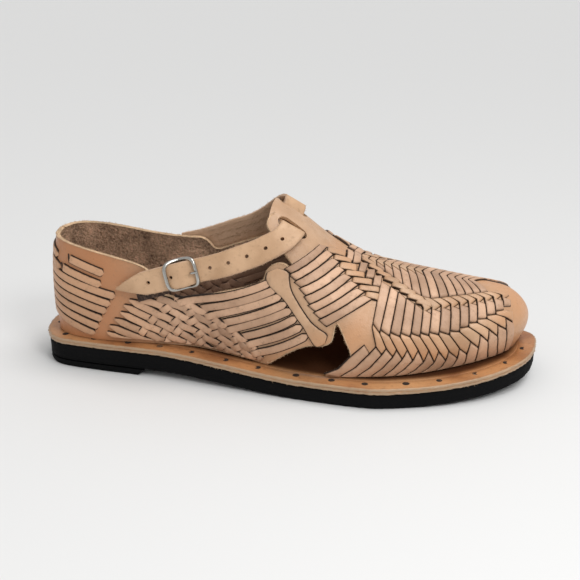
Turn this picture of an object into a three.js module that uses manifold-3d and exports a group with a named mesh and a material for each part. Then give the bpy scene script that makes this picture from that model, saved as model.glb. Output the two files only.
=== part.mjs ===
// Huarache sandal, right shoe. Millimetres, +X to the toe, +Y to the medial side, +Z up,
// the ground at z = 0 and the origin under the middle of the sole.
// The upper is one hollow woven wall on a shoe last; its openings are cut out of the last's skin.
import * as THREE from 'three';
import { mergeVertices } from 'three/addons/utils/BufferGeometryUtils.js';
import Module from 'manifold-3d';

const wasm = await Module();
wasm.setup();

// ---- driving dimensions, mm ----
const HEEL_BACK = -2;          // back of the sole, from the last's zero
const TOE_TIP = 292;           // front of the sole
const HALF_BALL = 53.2;        // half of the sole's width at the ball
const MID_X = (HEEL_BACK + TOE_TIP) / 2;
const LIFT_THICK = 4;          // rubber heel lift
const HEEL_RUBBER = 10;        // outsole over the lift
const BALL_RUBBER = 8.5;       // outsole at the ball and the toe
const LEATHER_THICK = 3.5;     // leather sole
const GAP = 0.3;               // clearance between touching pieces
const HEEL_BREAST = 70;        // front face of the heel lift
const BREAST_SLANT = 5;        // the lift's front face leans forward this much
const BALL_REAR = 170;         // the outsole lies flat on the ground from here
const BALL_FRONT = 212;        // to here
const TOE_SPRING = 6.5;        // lift of the outsole at the toe
const RUBBER_INSET = 0.8;      // the rubber is trimmed inside the leather edge
const WALL = 2.2;              // two layers of woven strap
const STRAP_THICK = 2;
const ANCHOR_THICK = 1.6;
const ANCHOR_WIDTH = 13;
const WIRE = 2.3;              // buckle wire diameter
const BAR_WIRE = 2.2;
const PRONG_WIRE = 1.5;
const SLOT_WIDTH = 7.6;        // slots of the instep tab, across
const SLOT_LENGTH = 19;        // and along

// ---- small tables ----
// Outline of the sole: distance from the heel, half widths to the lateral and the medial side.
const SOLE = [
  { x: HEEL_BACK, lateral: 0, medial: 0 },
  { x: -0.5, lateral: 11, medial: 11 },
  { x: 4, lateral: 22, medial: 22 },
  { x: 14, lateral: 30.5, medial: 30 },
  { x: 40, lateral: 34.5, medial: 34 },
  { x: 80, lateral: 37.5, medial: 34.5 },
  { x: 120, lateral: 43.5, medial: 36 },
  { x: 160, lateral: 49.8, medial: 45 },
  { x: 200, lateral: HALF_BALL, medial: 52.5 },
  { x: 225, lateral: 48, medial: HALF_BALL },
  { x: 250, lateral: 38.5, medial: 50 },
  { x: 272, lateral: 24.5, medial: 42.5 },
  { x: 286, lateral: 8, medial: 33 },
  { x: 290.8, lateral: -6, medial: 26 },
  { x: TOE_TIP, lateral: -17, medial: 17 },
];

// Sections of the last. Each rises from the feather line (foot: its x, lateral and medial half width)
// to the ridge over the instep (ridgeX, ridgeY, ridgeZ) on a quarter of a superellipse of this power,
// swelling outward by bulge at mid height. Behind the instep the ridge is only the last's cone top.
const LAST = [
  { at: 0, foot: 5, lateral: 0, medial: 0, ridgeX: 36, ridgeY: 0, ridgeZ: 116, power: 2.6, bulge: 1 },
  { at: 8, foot: 6.5, lateral: 11, medial: 11, ridgeX: 37, ridgeY: 0, ridgeZ: 116, power: 2.6, bulge: 1 },
  { at: 20, foot: 13, lateral: 21, medial: 21, ridgeX: 40, ridgeY: 0, ridgeZ: 116, power: 2.6, bulge: 1.2 },
  { at: 34, foot: 25, lateral: 27, medial: 27, ridgeX: 46, ridgeY: 0, ridgeZ: 116, power: 2.6, bulge: 1.4 },
  { at: 52, foot: 44, lateral: 29.5, medial: 29.5, ridgeX: 56, ridgeY: 0, ridgeZ: 115, power: 2.5, bulge: 1.6 },
  { at: 76, foot: 72, lateral: 28.5, medial: 27, ridgeX: 76, ridgeY: 1, ridgeZ: 114, power: 2.4, bulge: 2 },
  { at: 100, foot: 98, lateral: 26.5, medial: 25, ridgeX: 99, ridgeY: 2, ridgeZ: 112, power: 2.3, bulge: 3.5 },
  { at: 126, foot: 126, lateral: 31, medial: 29, ridgeX: 124, ridgeY: 4, ridgeZ: 106, power: 2.2, bulge: 4 },
  { at: 152, foot: 152, lateral: 38, medial: 35, ridgeX: 148, ridgeY: 6, ridgeZ: 95, power: 2.1, bulge: 3.5 },
  { at: 178, foot: 178, lateral: 42.5, medial: 41, ridgeX: 172, ridgeY: 8, ridgeZ: 76, power: 2.1, bulge: 3 },
  { at: 204, foot: 204, lateral: 38, medial: 44, ridgeX: 196, ridgeY: 11, ridgeZ: 63.5, power: 2.2, bulge: 3.5 },
  { at: 228, foot: 228, lateral: 29, medial: 43, ridgeX: 218, ridgeY: 14, ridgeZ: 58.5, power: 2.4, bulge: 4.5 },
  { at: 248, foot: 248, lateral: 18, medial: 40, ridgeX: 236, ridgeY: 16, ridgeZ: 55, power: 2.6, bulge: 5 },
  { at: 262, foot: 262, lateral: 9, medial: 36, ridgeX: 248, ridgeY: 17, ridgeZ: 53, power: 2.8, bulge: 5.5 },
  { at: 274, foot: 273, lateral: -1, medial: 31.5, ridgeX: 256, ridgeY: 18, ridgeZ: 52, power: 2.9, bulge: 6 },
  { at: 284, foot: 279.5, lateral: -11, medial: 26, ridgeX: 261, ridgeY: 19, ridgeZ: 51.5, power: 3, bulge: 6 },
  { at: 292, foot: 281.5, lateral: -20, medial: 20, ridgeX: 262, ridgeY: 19.5, ridgeZ: 51.5, power: 3, bulge: 6 },
];
const LAST_END = 292;

// Top line of the upper seen from the side, from the heel to the foot of the spine's lobe.
const TOP_LATERAL = [
  { x: 4, z: 77.5 }, { x: 24, z: 74.8 }, { x: 49, z: 70 }, { x: 66, z: 65.6 }, { x: 72.5, z: 61.5 },
  { x: 74, z: 55 }, { x: 76, z: 50.8 }, { x: 82, z: 48.4 }, { x: 97, z: 47.2 }, { x: 115, z: 53.3 },
  { x: 135, z: 59.8 }, { x: 141, z: 64 },
];
const TOP_MEDIAL = [
  { x: 4, z: 77.5 }, { x: 26, z: 73.5 }, { x: 54, z: 69 }, { x: 78, z: 67.6 }, { x: 88, z: 67.8 },
  { x: 93, z: 65 }, { x: 96, z: 61.5 }, { x: 100, z: 61 }, { x: 107, z: 63.6 }, { x: 117, z: 67 },
  { x: 126, z: 69.8 }, { x: 133, z: 69.8 }, { x: 138, z: 67.5 }, { x: 141, z: 64.6 },
];
const LOBE = { x: 148.7, z: 64.5, radius: 7.7 };          // rounded head of the spine
const TAB_NOTCH = { x: 156.5, z: 71 };                    // where the tab leaves the vamp
const TAB_CORNER = { x: 151.6, z: 76.2 };                 // lower corner of the tab's wing
const TAB_EAR = { x: 143.4, z: 91.5, radius: 4.2 };       // rounded back ear of the tab
const ABOVE = 150;                                        // higher than any part of the upper

// Side cut-out between the quarter and the vamp, seen from the side, from its rear foot over its
// top to its front foot, where the first vamp strip runs down to the sole.
const CUT_OUT = [
  { x: 139, z: 8 }, { x: 144, z: 15 }, { x: 151, z: 20.5 }, { x: 158, z: 25.5 }, { x: 167, z: 30 },
  { x: 175, z: 31 }, { x: 180, z: 34 }, { x: 182.5, z: 43.5 }, { x: 188, z: 34 }, { x: 191, z: 25 },
  { x: 185, z: 17.5 }, { x: 176, z: 12 }, { x: 175, z: 8 },
];

// Middle line of the ankle strap on the last: from its root on the medial counter, over the instep
// through the tab's two slots, to its pointed tip. deg is the angle round the section, 90 at the
// ridge; lift is the height of its middle layer over the last's skin.
const STRAP = [
  { side: 1, at: 80, deg: 22.8, lift: 1.9, width: 15 },
  { side: 1, at: 90, deg: 25.4, lift: 1.9, width: 14 },
  { side: 1, at: 100, deg: 29.1, lift: 1.9, width: 13.5 },
  { side: 1, at: 112, deg: 34.4, lift: 1.9, width: 14.5 },
  { side: 1, at: 124, deg: 40.4, lift: 1.9, width: 15.5 },
  { side: 1, at: 136, deg: 52, lift: 1.9, width: 15 },
  { side: 1, at: 147, deg: 70, lift: 2.6, width: 14.5 },
  { side: 1, at: 153.5, deg: 84, lift: 3.1, width: 14.5 },
  { side: -1, at: 155.5, deg: 79, lift: 2.1, width: 14.5 },
  { side: -1, at: 155.5, deg: 69.6, lift: 2.1, width: 14.5 },
  { side: -1, at: 151.8, deg: 58.7, lift: 2.1, width: 14.5 },
  { side: -1, at: 140.5, deg: 46.9, lift: 1.9, width: 14.5 },
  { side: -1, at: 125, deg: 36.8, lift: 1.9, width: 14.5 },
  { side: -1, at: 111, deg: 30.2, lift: 3, width: 13.8 },
  { side: -1, at: 104.5, deg: 28, lift: 4, width: 13.2 },
  { side: -1, at: 96, deg: 25.3, lift: 7, width: 13.2 },
  { side: -1, at: 87.5, deg: 22.9, lift: 5.9, width: 12.8 },
  { side: -1, at: 78.5, deg: 20.4, lift: 4.9, width: 13.2 },
  { side: -1, at: 69.5, deg: 18.2, lift: 4.1, width: 11.5 },
  { side: -1, at: 60.5, deg: 16, lift: 2.4, width: 1.6 },
];
const SLOTS = [{ side: 1, at: 152.5, deg: 82 }, { side: -1, at: 155.5, deg: 69.6 }];
const UNDER_BRIDGE = -(WALL + STRAP_THICK / 2 + 1.6);     // lift of the strap below the bridge
const SLOT_RAMP = 5;                                      // length in which the strap dives through

// Middle line of the buckle's anchor strap, from the lateral counter to the buckle's bar.
const ANCHOR = [
  { side: -1, at: 70, deg: 15.8, lift: 1.5 },
  { side: -1, at: 76, deg: 17.5, lift: 1.9 },
  { side: -1, at: 82.5, deg: 19.4, lift: 2.2 },
  { side: -1, at: 88.5, deg: 21.7, lift: 3 },
  { side: -1, at: 94, deg: 24.4, lift: 4.4 },
];
const BUCKLE = { side: -1, at: 96, deg: 25.3 };
const BUCKLE_LENGTH = 20;      // along the strap, outside
const BUCKLE_HEIGHT = 20.4;    // across the strap, outside
const BAR_LIFT = 2.2;          // middle bar over the last's skin
const SIDE_LIFT = { heel: 8.5, toe: 7 };                  // side bars over the last's skin
// Cuts for the prong, along the strap from the bar, and the prong's own line.
const PRONG_HOLE = { from: 3, to: 7.4, width: 2.8 };
const ANCHOR_SLOT = { from: -1.6, to: 6, width: 3 };
const PRONG = [
  { along: 2.2, lift: 2.4 }, { along: 4.4, lift: 4.8 }, { along: 6.2, lift: 8.5 },
  { along: 8.3, lift: 9.3 }, { along: 9.9, lift: 9 },
];

// ---- curves and sections ----
// Monotone cubic through a table's rows, the slopes limited so that no row is overshot.
function slopes(at, value) {
  const n = at.length;
  const step = at.slice(1).map((a, i) => a - at[i]);
  const rate = step.map((h, i) => (value[i + 1] - value[i]) / h);
  const end = (h0, h1, r0, r1) => {
    const m = ((2 * h0 + h1) * r0 - h0 * r1) / (h0 + h1);
    if (m * r0 <= 0) return 0;
    return r0 * r1 <= 0 && Math.abs(m) > 3 * Math.abs(r0) ? 3 * r0 : m;
  };
  const result = new Array(n).fill(0);
  result[0] = end(step[0], step[1], rate[0], rate[1]);
  result[n - 1] = end(step[n - 2], step[n - 3], rate[n - 2], rate[n - 3]);
  for (let i = 1; i < n - 1; i++) {
    if (rate[i - 1] * rate[i] > 0) {
      const w0 = 2 * step[i] + step[i - 1];
      const w1 = step[i] + 2 * step[i - 1];
      result[i] = (w0 + w1) / (w0 / rate[i - 1] + w1 / rate[i]);
    }
  }
  return result;
}

function smoothTable(rows, key, columns) {
  const at = key ? rows.map((row) => row[key]) : rows.map((row, i) => i);
  const curves = columns.map((name) => {
    const value = rows.map((row) => row[name]);
    return { name, value, slope: slopes(at, value) };
  });
  return (place) => {
    let i = 0;
    while (i < at.length - 2 && place > at[i + 1]) i += 1;
    const h = at[i + 1] - at[i];
    const t = THREE.MathUtils.clamp((place - at[i]) / h, 0, 1);
    const row = {};
    for (const { name, value, slope } of curves) {
      row[name] = (2 * t ** 3 - 3 * t ** 2 + 1) * value[i] + (t ** 3 - 2 * t ** 2 + t) * h * slope[i]
        + (3 * t ** 2 - 2 * t ** 3) * value[i + 1] + (t ** 3 - t ** 2) * h * slope[i + 1];
    }
    return row;
  };
}

const soleRow = smoothTable(SOLE, null, ['x', 'lateral', 'medial']);
const lastRow = smoothTable(
  LAST, 'at', ['foot', 'lateral', 'medial', 'ridgeX', 'ridgeY', 'ridgeZ', 'power', 'bulge']);

// How far the sole has come down from the heel to the ball, and up again into the toe spring.
const archDrop = (x) => THREE.MathUtils.smoothstep(x, HEEL_BREAST, BALL_REAR);
const toeRise = (x) => TOE_SPRING * Math.max((x - BALL_FRONT) / (TOE_TIP - BALL_FRONT), 0) ** 2;

const underside = (x) => LIFT_THICK * (1 - archDrop(x)) + toeRise(x);

function rubberTop(x) {
  return THREE.MathUtils.lerp(LIFT_THICK + HEEL_RUBBER, BALL_RUBBER, archDrop(x)) + toeRise(x);
}

const soleTop = (x) => rubberTop(x) + GAP + LEATHER_THICK;

// A point of the last's skin: side is -1 lateral or 1 medial, angle runs from 0 at the feather line
// to a quarter turn at the ridge.
function skin(side, at, angle) {
  const row = lastRow(THREE.MathUtils.clamp(at, 0, LAST_END));
  const footY = side < 0 ? -row.lateral : row.medial;
  const footZ = soleTop(row.foot);
  const across = Math.max(Math.cos(angle), 0) ** (2 / row.power);
  const rise = Math.max(Math.sin(angle), 0) ** (2 / row.power);
  const dx = row.foot - row.ridgeX;
  const dy = footY - row.ridgeY;
  const swell = across + (row.bulge * Math.sin(Math.PI * rise)) / Math.hypot(dx, dy);
  return new THREE.Vector3(
    row.ridgeX + dx * swell, row.ridgeY + dy * swell, footZ + (row.ridgeZ - footZ) * rise);
}

function skinNormal(side, at, angle) {
  const stepAt = 0.5;
  const stepAngle = 0.01;
  const low = Math.min(angle, Math.PI / 2 - 2 * stepAngle);
  const along = skin(side, at + stepAt, low).sub(skin(side, at - stepAt, low));
  const up = skin(side, at, low + stepAngle).sub(skin(side, at, low - stepAngle));
  return along.cross(up).multiplyScalar(-side).normalize();
}

// ---- solids ----
// Geometry with shared vertices and no collapsed triangles.
function welded(positions, index) {
  const raw = new THREE.BufferGeometry();
  raw.setAttribute('position', new THREE.Float32BufferAttribute(positions, 3));
  raw.setIndex(index);
  const geometry = mergeVertices(raw, 1e-4);
  const kept = [];
  for (let i = 0; i < geometry.index.count; i += 3) {
    const [a, b, c] = geometry.index.array.slice(i, i + 3);
    if (a !== b && b !== c && c !== a) kept.push(a, b, c);
  }
  geometry.setIndex(kept);
  return geometry;
}

function solidOf(geometry) {
  return new wasm.Manifold(new wasm.Mesh({
    numProp: 3,
    vertProperties: new Float32Array(geometry.attributes.position.array),
    triVerts: new Uint32Array(geometry.index.array),
  }));
}

function geometryOf(solid) {
  const out = solid.getMesh();
  const geometry = new THREE.BufferGeometry();
  geometry.setAttribute('position', new THREE.Float32BufferAttribute(out.vertProperties, 3));
  geometry.setIndex(Array.from(out.triVerts));
  return geometry;
}

// Closed geometry swept through rings of equal point count. Its ends are capped, or joined up.
function loft(rings, joined = false) {
  const count = rings[0].length;
  const positions = rings.flat().flatMap((p) => [p.x, p.y, p.z]);
  const index = [];
  const spans = joined ? rings.length : rings.length - 1;
  for (let i = 0; i < spans; i++) {
    const here = i * count;
    const next = ((i + 1) % rings.length) * count;
    for (let j = 0; j < count; j++) {
      const k = (j + 1) % count;
      index.push(here + j, here + k, next + k, here + j, next + k, next + j);
    }
  }
  if (!joined) {
    const last = (rings.length - 1) * count;
    for (let j = 1; j < count - 1; j++) {
      index.push(0, j + 1, j, last, last + j, last + j + 1);
    }
  }
  return outward(welded(positions, index));
}

// Turns the faces round if they point into the solid.
function outward(geometry) {
  const p = new THREE.Vector3();
  const q = new THREE.Vector3();
  const r = new THREE.Vector3();
  const { array } = geometry.index;
  let volume = 0;
  for (let i = 0; i < array.length; i += 3) {
    p.fromBufferAttribute(geometry.attributes.position, array[i]);
    q.fromBufferAttribute(geometry.attributes.position, array[i + 1]);
    r.fromBufferAttribute(geometry.attributes.position, array[i + 2]);
    volume += p.dot(q.cross(r));
  }
  if (volume < 0) geometry.setIndex(Array.from(array).reverse());
  return geometry;
}

function material(name, color, roughness, metalness = 0) {
  return new THREE.MeshStandardMaterial({ name, color, roughness, metalness });
}

function part(name, geometry, look) {
  geometry.computeVertexNormals();
  const mesh = new THREE.Mesh(geometry, look);
  mesh.name = name;
  return mesh;
}

// ---- sole ----
// Layer of the sole between two height functions, trimmed inside the outline by inset.
function soleLayer(bottom, top, inset) {
  const perRow = 4;
  const steps = (SOLE.length - 1) * perRow;
  const lengthScale = 1 - (2 * inset) / (TOE_TIP - HEEL_BACK);
  const widthScale = 1 - inset / HALF_BALL;
  const rings = [];
  for (let i = 0; i <= steps; i++) {
    const row = soleRow(i / perRow);
    const x = MID_X + (row.x - MID_X) * lengthScale;
    const y = [-row.lateral * widthScale, row.medial * widthScale];
    rings.push([
      new THREE.Vector3(x, y[0], bottom(x)),
      new THREE.Vector3(x, y[1], bottom(x)),
      new THREE.Vector3(x, y[1], top(x)),
      new THREE.Vector3(x, y[0], top(x)),
    ]);
  }
  return loft(rings);
}

function outsole() {
  return soleLayer(underside, rubberTop, RUBBER_INSET);
}

function leatherSole() {
  return soleLayer((x) => rubberTop(x) + GAP, soleTop, 0);
}

// The lift has the outsole's outline, cut off by a front face that leans forward.
function heelLift() {
  const block = solidOf(soleLayer(() => 0, () => LIFT_THICK - GAP, RUBBER_INSET));
  const ahead = sidePrism([
    { x: HEEL_BREAST - BREAST_SLANT, z: -1 }, { x: TOE_TIP + 10, z: -1 },
    { x: TOE_TIP + 10, z: LIFT_THICK + 1 }, { x: HEEL_BREAST, z: LIFT_THICK + 1 },
  ], 0);
  return geometryOf(block.subtract(ahead));
}

// Prism of an (x, z) outline across one side of the shoe, or across both for side 0.
function sidePrism(points, side) {
  const reach = 90;
  const shape = new THREE.Shape(points.map((p) => new THREE.Vector2(p.x, p.z)));
  const prism = new THREE.ExtrudeGeometry(shape, {
    depth: side === 0 ? 2 * reach : reach, bevelEnabled: false, curveSegments: 1 });
  prism.rotateX(Math.PI / 2);
  prism.translate(0, side < 0 ? 0 : reach, 0);
  return solidOf(outward(welded(Array.from(prism.attributes.position.array), listOf(prism))));
}

function listOf(geometry) {
  if (geometry.index) return Array.from(geometry.index.array);
  return Array.from({ length: geometry.attributes.position.count }, (value, i) => i);
}

// ---- upper ----
// The last's skin as a hollow bell of the wall's thickness, standing on the leather sole.
function bell() {
  const perRow = 4;
  const along = (LAST.length - 1) * perRow;
  const around = 14;
  const rows = smoothTable(LAST.map((row) => ({ at: row.at })), null, ['at']);
  const positions = [];
  const index = [];
  const place = (side, i, j) => {
    const key = side > 0 && (i === 0 || i === along || j === around) ? -1 : side;
    return (key < 0 ? 0 : (along + 1) * (around + 1)) + i * (around + 1) + j;
  };
  for (const side of [-1, 1]) {
    for (let i = 0; i <= along; i++) {
      const { at } = rows(i / perRow);
      for (let j = 0; j <= around; j++) {
        const p = skin(side, at, (j / around) * (Math.PI / 2));
        positions.push(p.x, p.y, p.z + GAP);
      }
    }
    for (let i = 0; i < along; i++) {
      for (let j = 0; j < around; j++) {
        const [a, b] = [place(side, i, j), place(side, i + 1, j)];
        const [c, d] = [place(side, i + 1, j + 1), place(side, i, j + 1)];
        if (side < 0) index.push(a, b, c, a, c, d);
        else index.push(a, c, b, a, d, c);
      }
    }
  }
  const outer = welded(positions, index);
  outer.computeVertexNormals();
  return thickened(outer);
}

// Adds an inner layer one wall inside an open surface and closes the rim between the two.
function thickened(outer) {
  const count = outer.attributes.position.count;
  const point = new THREE.Vector3();
  const normal = new THREE.Vector3();
  const positions = Array.from(outer.attributes.position.array);
  const faces = Array.from(outer.index.array);
  const edges = new Map();
  for (let i = 0; i < faces.length; i += 3) {
    for (let k = 0; k < 3; k++) {
      edges.set(`${faces[i + k]},${faces[i + ((k + 1) % 3)]}`, [faces[i + k], faces[i + ((k + 1) % 3)]]);
    }
  }
  const rim = [...edges.values()].filter(([a, b]) => !edges.has(`${b},${a}`));
  const onRim = new Set(rim.flat());
  for (let i = 0; i < count; i++) {
    point.fromBufferAttribute(outer.attributes.position, i);
    normal.fromBufferAttribute(outer.attributes.normal, i);
    if (onRim.has(i)) normal.setZ(0).normalize();
    point.addScaledVector(normal, -WALL);
    positions.push(point.x, point.y, point.z);
  }
  const index = [...faces];
  for (let i = 0; i < faces.length; i += 3) {
    index.push(faces[i] + count, faces[i + 2] + count, faces[i + 1] + count);
  }
  for (const [a, b] of rim) {
    index.push(b, a, a + count, b, a + count, b + count);
  }
  return outward(welded(positions, index));
}

// Everything above the top line of one side: collar, throat, the spine's lobe and the tab's wing.
function aboveTopLine(topLine, side) {
  const line = new THREE.SplineCurve(topLine.map((p) => new THREE.Vector2(p.x, p.z)));
  const shape = new THREE.Path();
  shape.moveTo(-20, ABOVE);
  shape.lineTo(-20, topLine[0].z);
  for (const p of line.getPoints(26)) shape.lineTo(p.x, p.y);
  shape.absarc(LOBE.x, LOBE.z, LOBE.radius, Math.PI, 0, true);
  shape.lineTo(TAB_NOTCH.x, TAB_NOTCH.z);
  shape.lineTo(TAB_CORNER.x, TAB_CORNER.z);
  shape.absarc(TAB_EAR.x, TAB_EAR.z, TAB_EAR.radius, 1.2 * Math.PI, Math.PI, true);
  shape.lineTo(TAB_EAR.x - TAB_EAR.radius, ABOVE);
  const points = shape.getPoints(6).map((p) => ({ x: p.x, z: p.y }));
  return sidePrism(points, side);
}

// A slot through the tab, square to the skin, long in the direction of the foot.
function tabSlot({ side, at, deg }) {
  const angle = THREE.MathUtils.degToRad(deg);
  const out = skinNormal(side, at, angle);
  const along = skin(side, at + 1, angle).sub(skin(side, at - 1, angle));
  along.addScaledVector(out, -along.dot(out)).normalize();
  const round = SLOT_WIDTH / 2;
  const half = SLOT_LENGTH / 2 - round;
  const shape = new THREE.Shape();
  shape.absarc(half, 0, round, -Math.PI / 2, Math.PI / 2, false);
  shape.absarc(-half, 0, round, Math.PI / 2, 1.5 * Math.PI, false);
  const depth = 16;
  const block = new THREE.ExtrudeGeometry(shape, { depth, bevelEnabled: false, curveSegments: 6 });
  block.translate(0, 0, -depth / 2);
  block.applyMatrix4(new THREE.Matrix4().makeBasis(along, out.clone().cross(along), out));
  const centre = skin(side, at, angle);
  block.translate(centre.x, centre.y, centre.z + GAP);
  return solidOf(outward(welded(Array.from(block.attributes.position.array), listOf(block))));
}

function upper() {
  let wall = solidOf(bell());
  wall = wall.subtract(aboveTopLine(TOP_LATERAL, -1));
  wall = wall.subtract(aboveTopLine(TOP_MEDIAL, 1));
  for (const side of [-1, 1]) {
    wall = wall.subtract(sidePrism(CUT_OUT, side));
  }
  for (const slot of SLOTS) {
    wall = wall.subtract(tabSlot(slot));
  }
  return geometryOf(wall);
}

// ---- straps ----
const radians = (row) => THREE.MathUtils.degToRad(row.deg);
const onSkin = (row) => skin(row.side, row.at, radians(row)).add(new THREE.Vector3(0, 0, GAP));

// Smooth path through a table's rows on the skin, in even steps of about the given length.
function skinPath(rows, step) {
  const line = new THREE.CatmullRomCurve3(rows.map(onSkin), false, 'centripetal');
  const turn = new THREE.CatmullRomCurve3(
    rows.map((row) => skinNormal(row.side, row.at, radians(row))), false, 'centripetal');
  const columns = smoothTable(rows, null, ['lift', 'width']);
  const count = Math.round(line.getLength() / step);
  return Array.from({ length: count + 1 }, (value, i) => {
    const t = line.getUtoTmapping(i / count);
    return { base: line.getPoint(t), normal: turn.getPoint(t).normalize(),
      run: (i / count) * line.getLength(), ...columns(t * (rows.length - 1)) };
  });
}

// A flat band whose middle layer stands off the path by each spot's lift.
function band(spots, thickness) {
  const middle = spots.map(({ base, normal, lift }) => base.clone().addScaledVector(normal, lift));
  const rings = spots.map(({ normal, width }, i) => {
    const before = Math.max(i - 1, 0);
    const after = Math.min(i + 1, spots.length - 1);
    const lie = spots[after].base.clone().sub(spots[before].base);
    const across = normal.clone().cross(lie).normalize();
    const out = middle[after].clone().sub(middle[before]).cross(across).normalize();
    const corner = (w, t) => middle[i].clone()
      .addScaledVector(across, (w * width) / 2).addScaledVector(out, (t * thickness) / 2);
    return [corner(-1, -1), corner(1, -1), corner(1, 1), corner(-1, 1)];
  });
  return loft(rings);
}

// The strap dives through the medial slot, runs below the bridge and comes up through the other.
function ankleStrap() {
  const spots = skinPath(STRAP, 1.8);
  const crossings = SLOTS.map((slot) => {
    const centre = onSkin(slot);
    const nearest = spots.reduce((best, spot) => (
      spot.base.distanceTo(centre) < best.base.distanceTo(centre) ? spot : best));
    return nearest.run;
  });
  for (const spot of spots) {
    const [inward, outwardAgain] = crossings.map((run) => (
      THREE.MathUtils.smoothstep(spot.run, run - SLOT_RAMP / 2, run + SLOT_RAMP / 2)));
    spot.lift = THREE.MathUtils.lerp(spot.lift, UNDER_BRIDGE, inward - outwardAgain);
  }
  const hole = buckleBox(PRONG_HOLE, 12);
  return geometryOf(solidOf(band(spots, STRAP_THICK)).subtract(hole));
}

// The anchor wraps round the buckle's bar and ends just behind it; a slot lets the prong out.
function buckleAnchor() {
  const spots = skinPath(ANCHOR.map((row) => ({ width: ANCHOR_WIDTH, ...row })), 2.5);
  const { origin, along, out } = buckleFrame();
  const radius = BAR_WIRE / 2 + GAP + ANCHOR_THICK / 2;
  const turnSteps = 8;
  const tail = 4;
  const middle = spots.map(({ base, normal, lift }) => base.clone().addScaledVector(normal, lift));
  for (let i = 0; i <= turnSteps; i++) {
    const angle = Math.PI / 2 - (i / turnSteps) * Math.PI;
    middle.push(origin.clone().addScaledVector(along, radius * Math.cos(angle))
      .addScaledVector(out, BAR_LIFT + radius * Math.sin(angle)));
  }
  middle.push(origin.clone().addScaledVector(along, -tail).addScaledVector(out, BAR_LIFT - radius));
  const across = out.clone().cross(along);
  const rings = middle.map((point, i) => {
    const run = middle[Math.min(i + 1, middle.length - 1)].clone().sub(middle[Math.max(i - 1, 0)]);
    const up = run.cross(across).negate().normalize();
    const corner = (w, t) => point.clone()
      .addScaledVector(across, (w * ANCHOR_WIDTH) / 2).addScaledVector(up, (t * ANCHOR_THICK) / 2);
    return [corner(-1, -1), corner(1, -1), corner(1, 1), corner(-1, 1)];
  });
  return geometryOf(solidOf(loft(rings)).subtract(buckleBox(ANCHOR_SLOT, 16)));
}

// ---- buckle ----
// The buckle's own axes: along the strap to the toe, across it, and out from the foot.
function buckleFrame() {
  const origin = onSkin(BUCKLE);
  const out = skinNormal(BUCKLE.side, BUCKLE.at, radians(BUCKLE));
  const ahead = STRAP[STRAP.findIndex((row) => row.side < 0 && row.at === BUCKLE.at) - 1];
  const along = onSkin(ahead).sub(origin);
  along.addScaledVector(out, -along.dot(out)).normalize();
  return { origin, along, out, across: out.clone().cross(along) };
}

function buckleMatrix() {
  const { origin, along, out, across } = buckleFrame();
  return new THREE.Matrix4().makeBasis(along, across, out).setPosition(origin);
}

// A cutting box square to the buckle, as long and as wide as given, deep enough to pass a strap.
function buckleBox({ from, to, width }, depth) {
  const box = new THREE.BoxGeometry(to - from, width, depth);
  box.translate((from + to) / 2, 0, depth / 4);
  box.applyMatrix4(buckleMatrix());
  return solidOf(outward(welded(Array.from(box.attributes.position.array), listOf(box))));
}

// Round wire through points given in the buckle's axes.
function wire(points, diameter, joined) {
  const sides = 8;
  const matrix = buckleMatrix();
  const count = points.length;
  const rings = points.map((point, i) => {
    const before = points[joined ? (i + count - 1) % count : Math.max(i - 1, 0)];
    const after = points[joined ? (i + 1) % count : Math.min(i + 1, count - 1)];
    const run = after.clone().sub(before).normalize();
    const side = Math.abs(run.z) > 0.9 ? new THREE.Vector3(1, 0, 0) : new THREE.Vector3(0, 0, 1);
    const first = side.addScaledVector(run, -side.dot(run)).normalize();
    const second = run.clone().cross(first);
    return Array.from({ length: sides }, (value, j) => {
      const angle = (j / sides) * 2 * Math.PI;
      return point.clone().addScaledVector(first, (diameter / 2) * Math.cos(angle))
        .addScaledVector(second, (diameter / 2) * Math.sin(angle)).applyMatrix4(matrix);
    });
  });
  return loft(rings, joined);
}

// Rounded frame: its side bars ride over the strap, its ends dip to the middle bar.
function buckleLoop() {
  const halfLength = (BUCKLE_LENGTH - WIRE) / 2;
  const halfHeight = (BUCKLE_HEIGHT - WIRE) / 2;
  const steps = 36;
  const corner = 0.35;
  const points = Array.from({ length: steps }, (value, i) => {
    const angle = (i / steps) * 2 * Math.PI;
    const c = Math.cos(angle);
    const s = Math.sin(angle);
    const x = halfLength * Math.sign(c) * Math.abs(c) ** corner;
    const y = halfHeight * Math.sign(s) * Math.abs(s) ** corner;
    const side = x > 0 ? SIDE_LIFT.toe : SIDE_LIFT.heel;
    return new THREE.Vector3(x, y, THREE.MathUtils.lerp(BAR_LIFT, side, Math.abs(x / halfLength) ** 1.2));
  });
  const bar = [-1, 1].map((end) => new THREE.Vector3(0, end * halfHeight, BAR_LIFT));
  return geometryOf(solidOf(wire(points, WIRE, true)).add(solidOf(wire(bar, BAR_WIRE, false))));
}

function buckleProng() {
  const line = new THREE.CatmullRomCurve3(PRONG.map((p) => new THREE.Vector3(p.along, 0, p.lift)));
  return wire(line.getPoints(12), PRONG_WIRE, false);
}

// ---- the shoe ----
const leather = (name, color, roughness) => material(name, color, roughness);
const rubber = (name) => material(name, 0x151514, 0.85);
const nickel = (name) => material(name, 0xb9b6ae, 0.25, 1);

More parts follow.
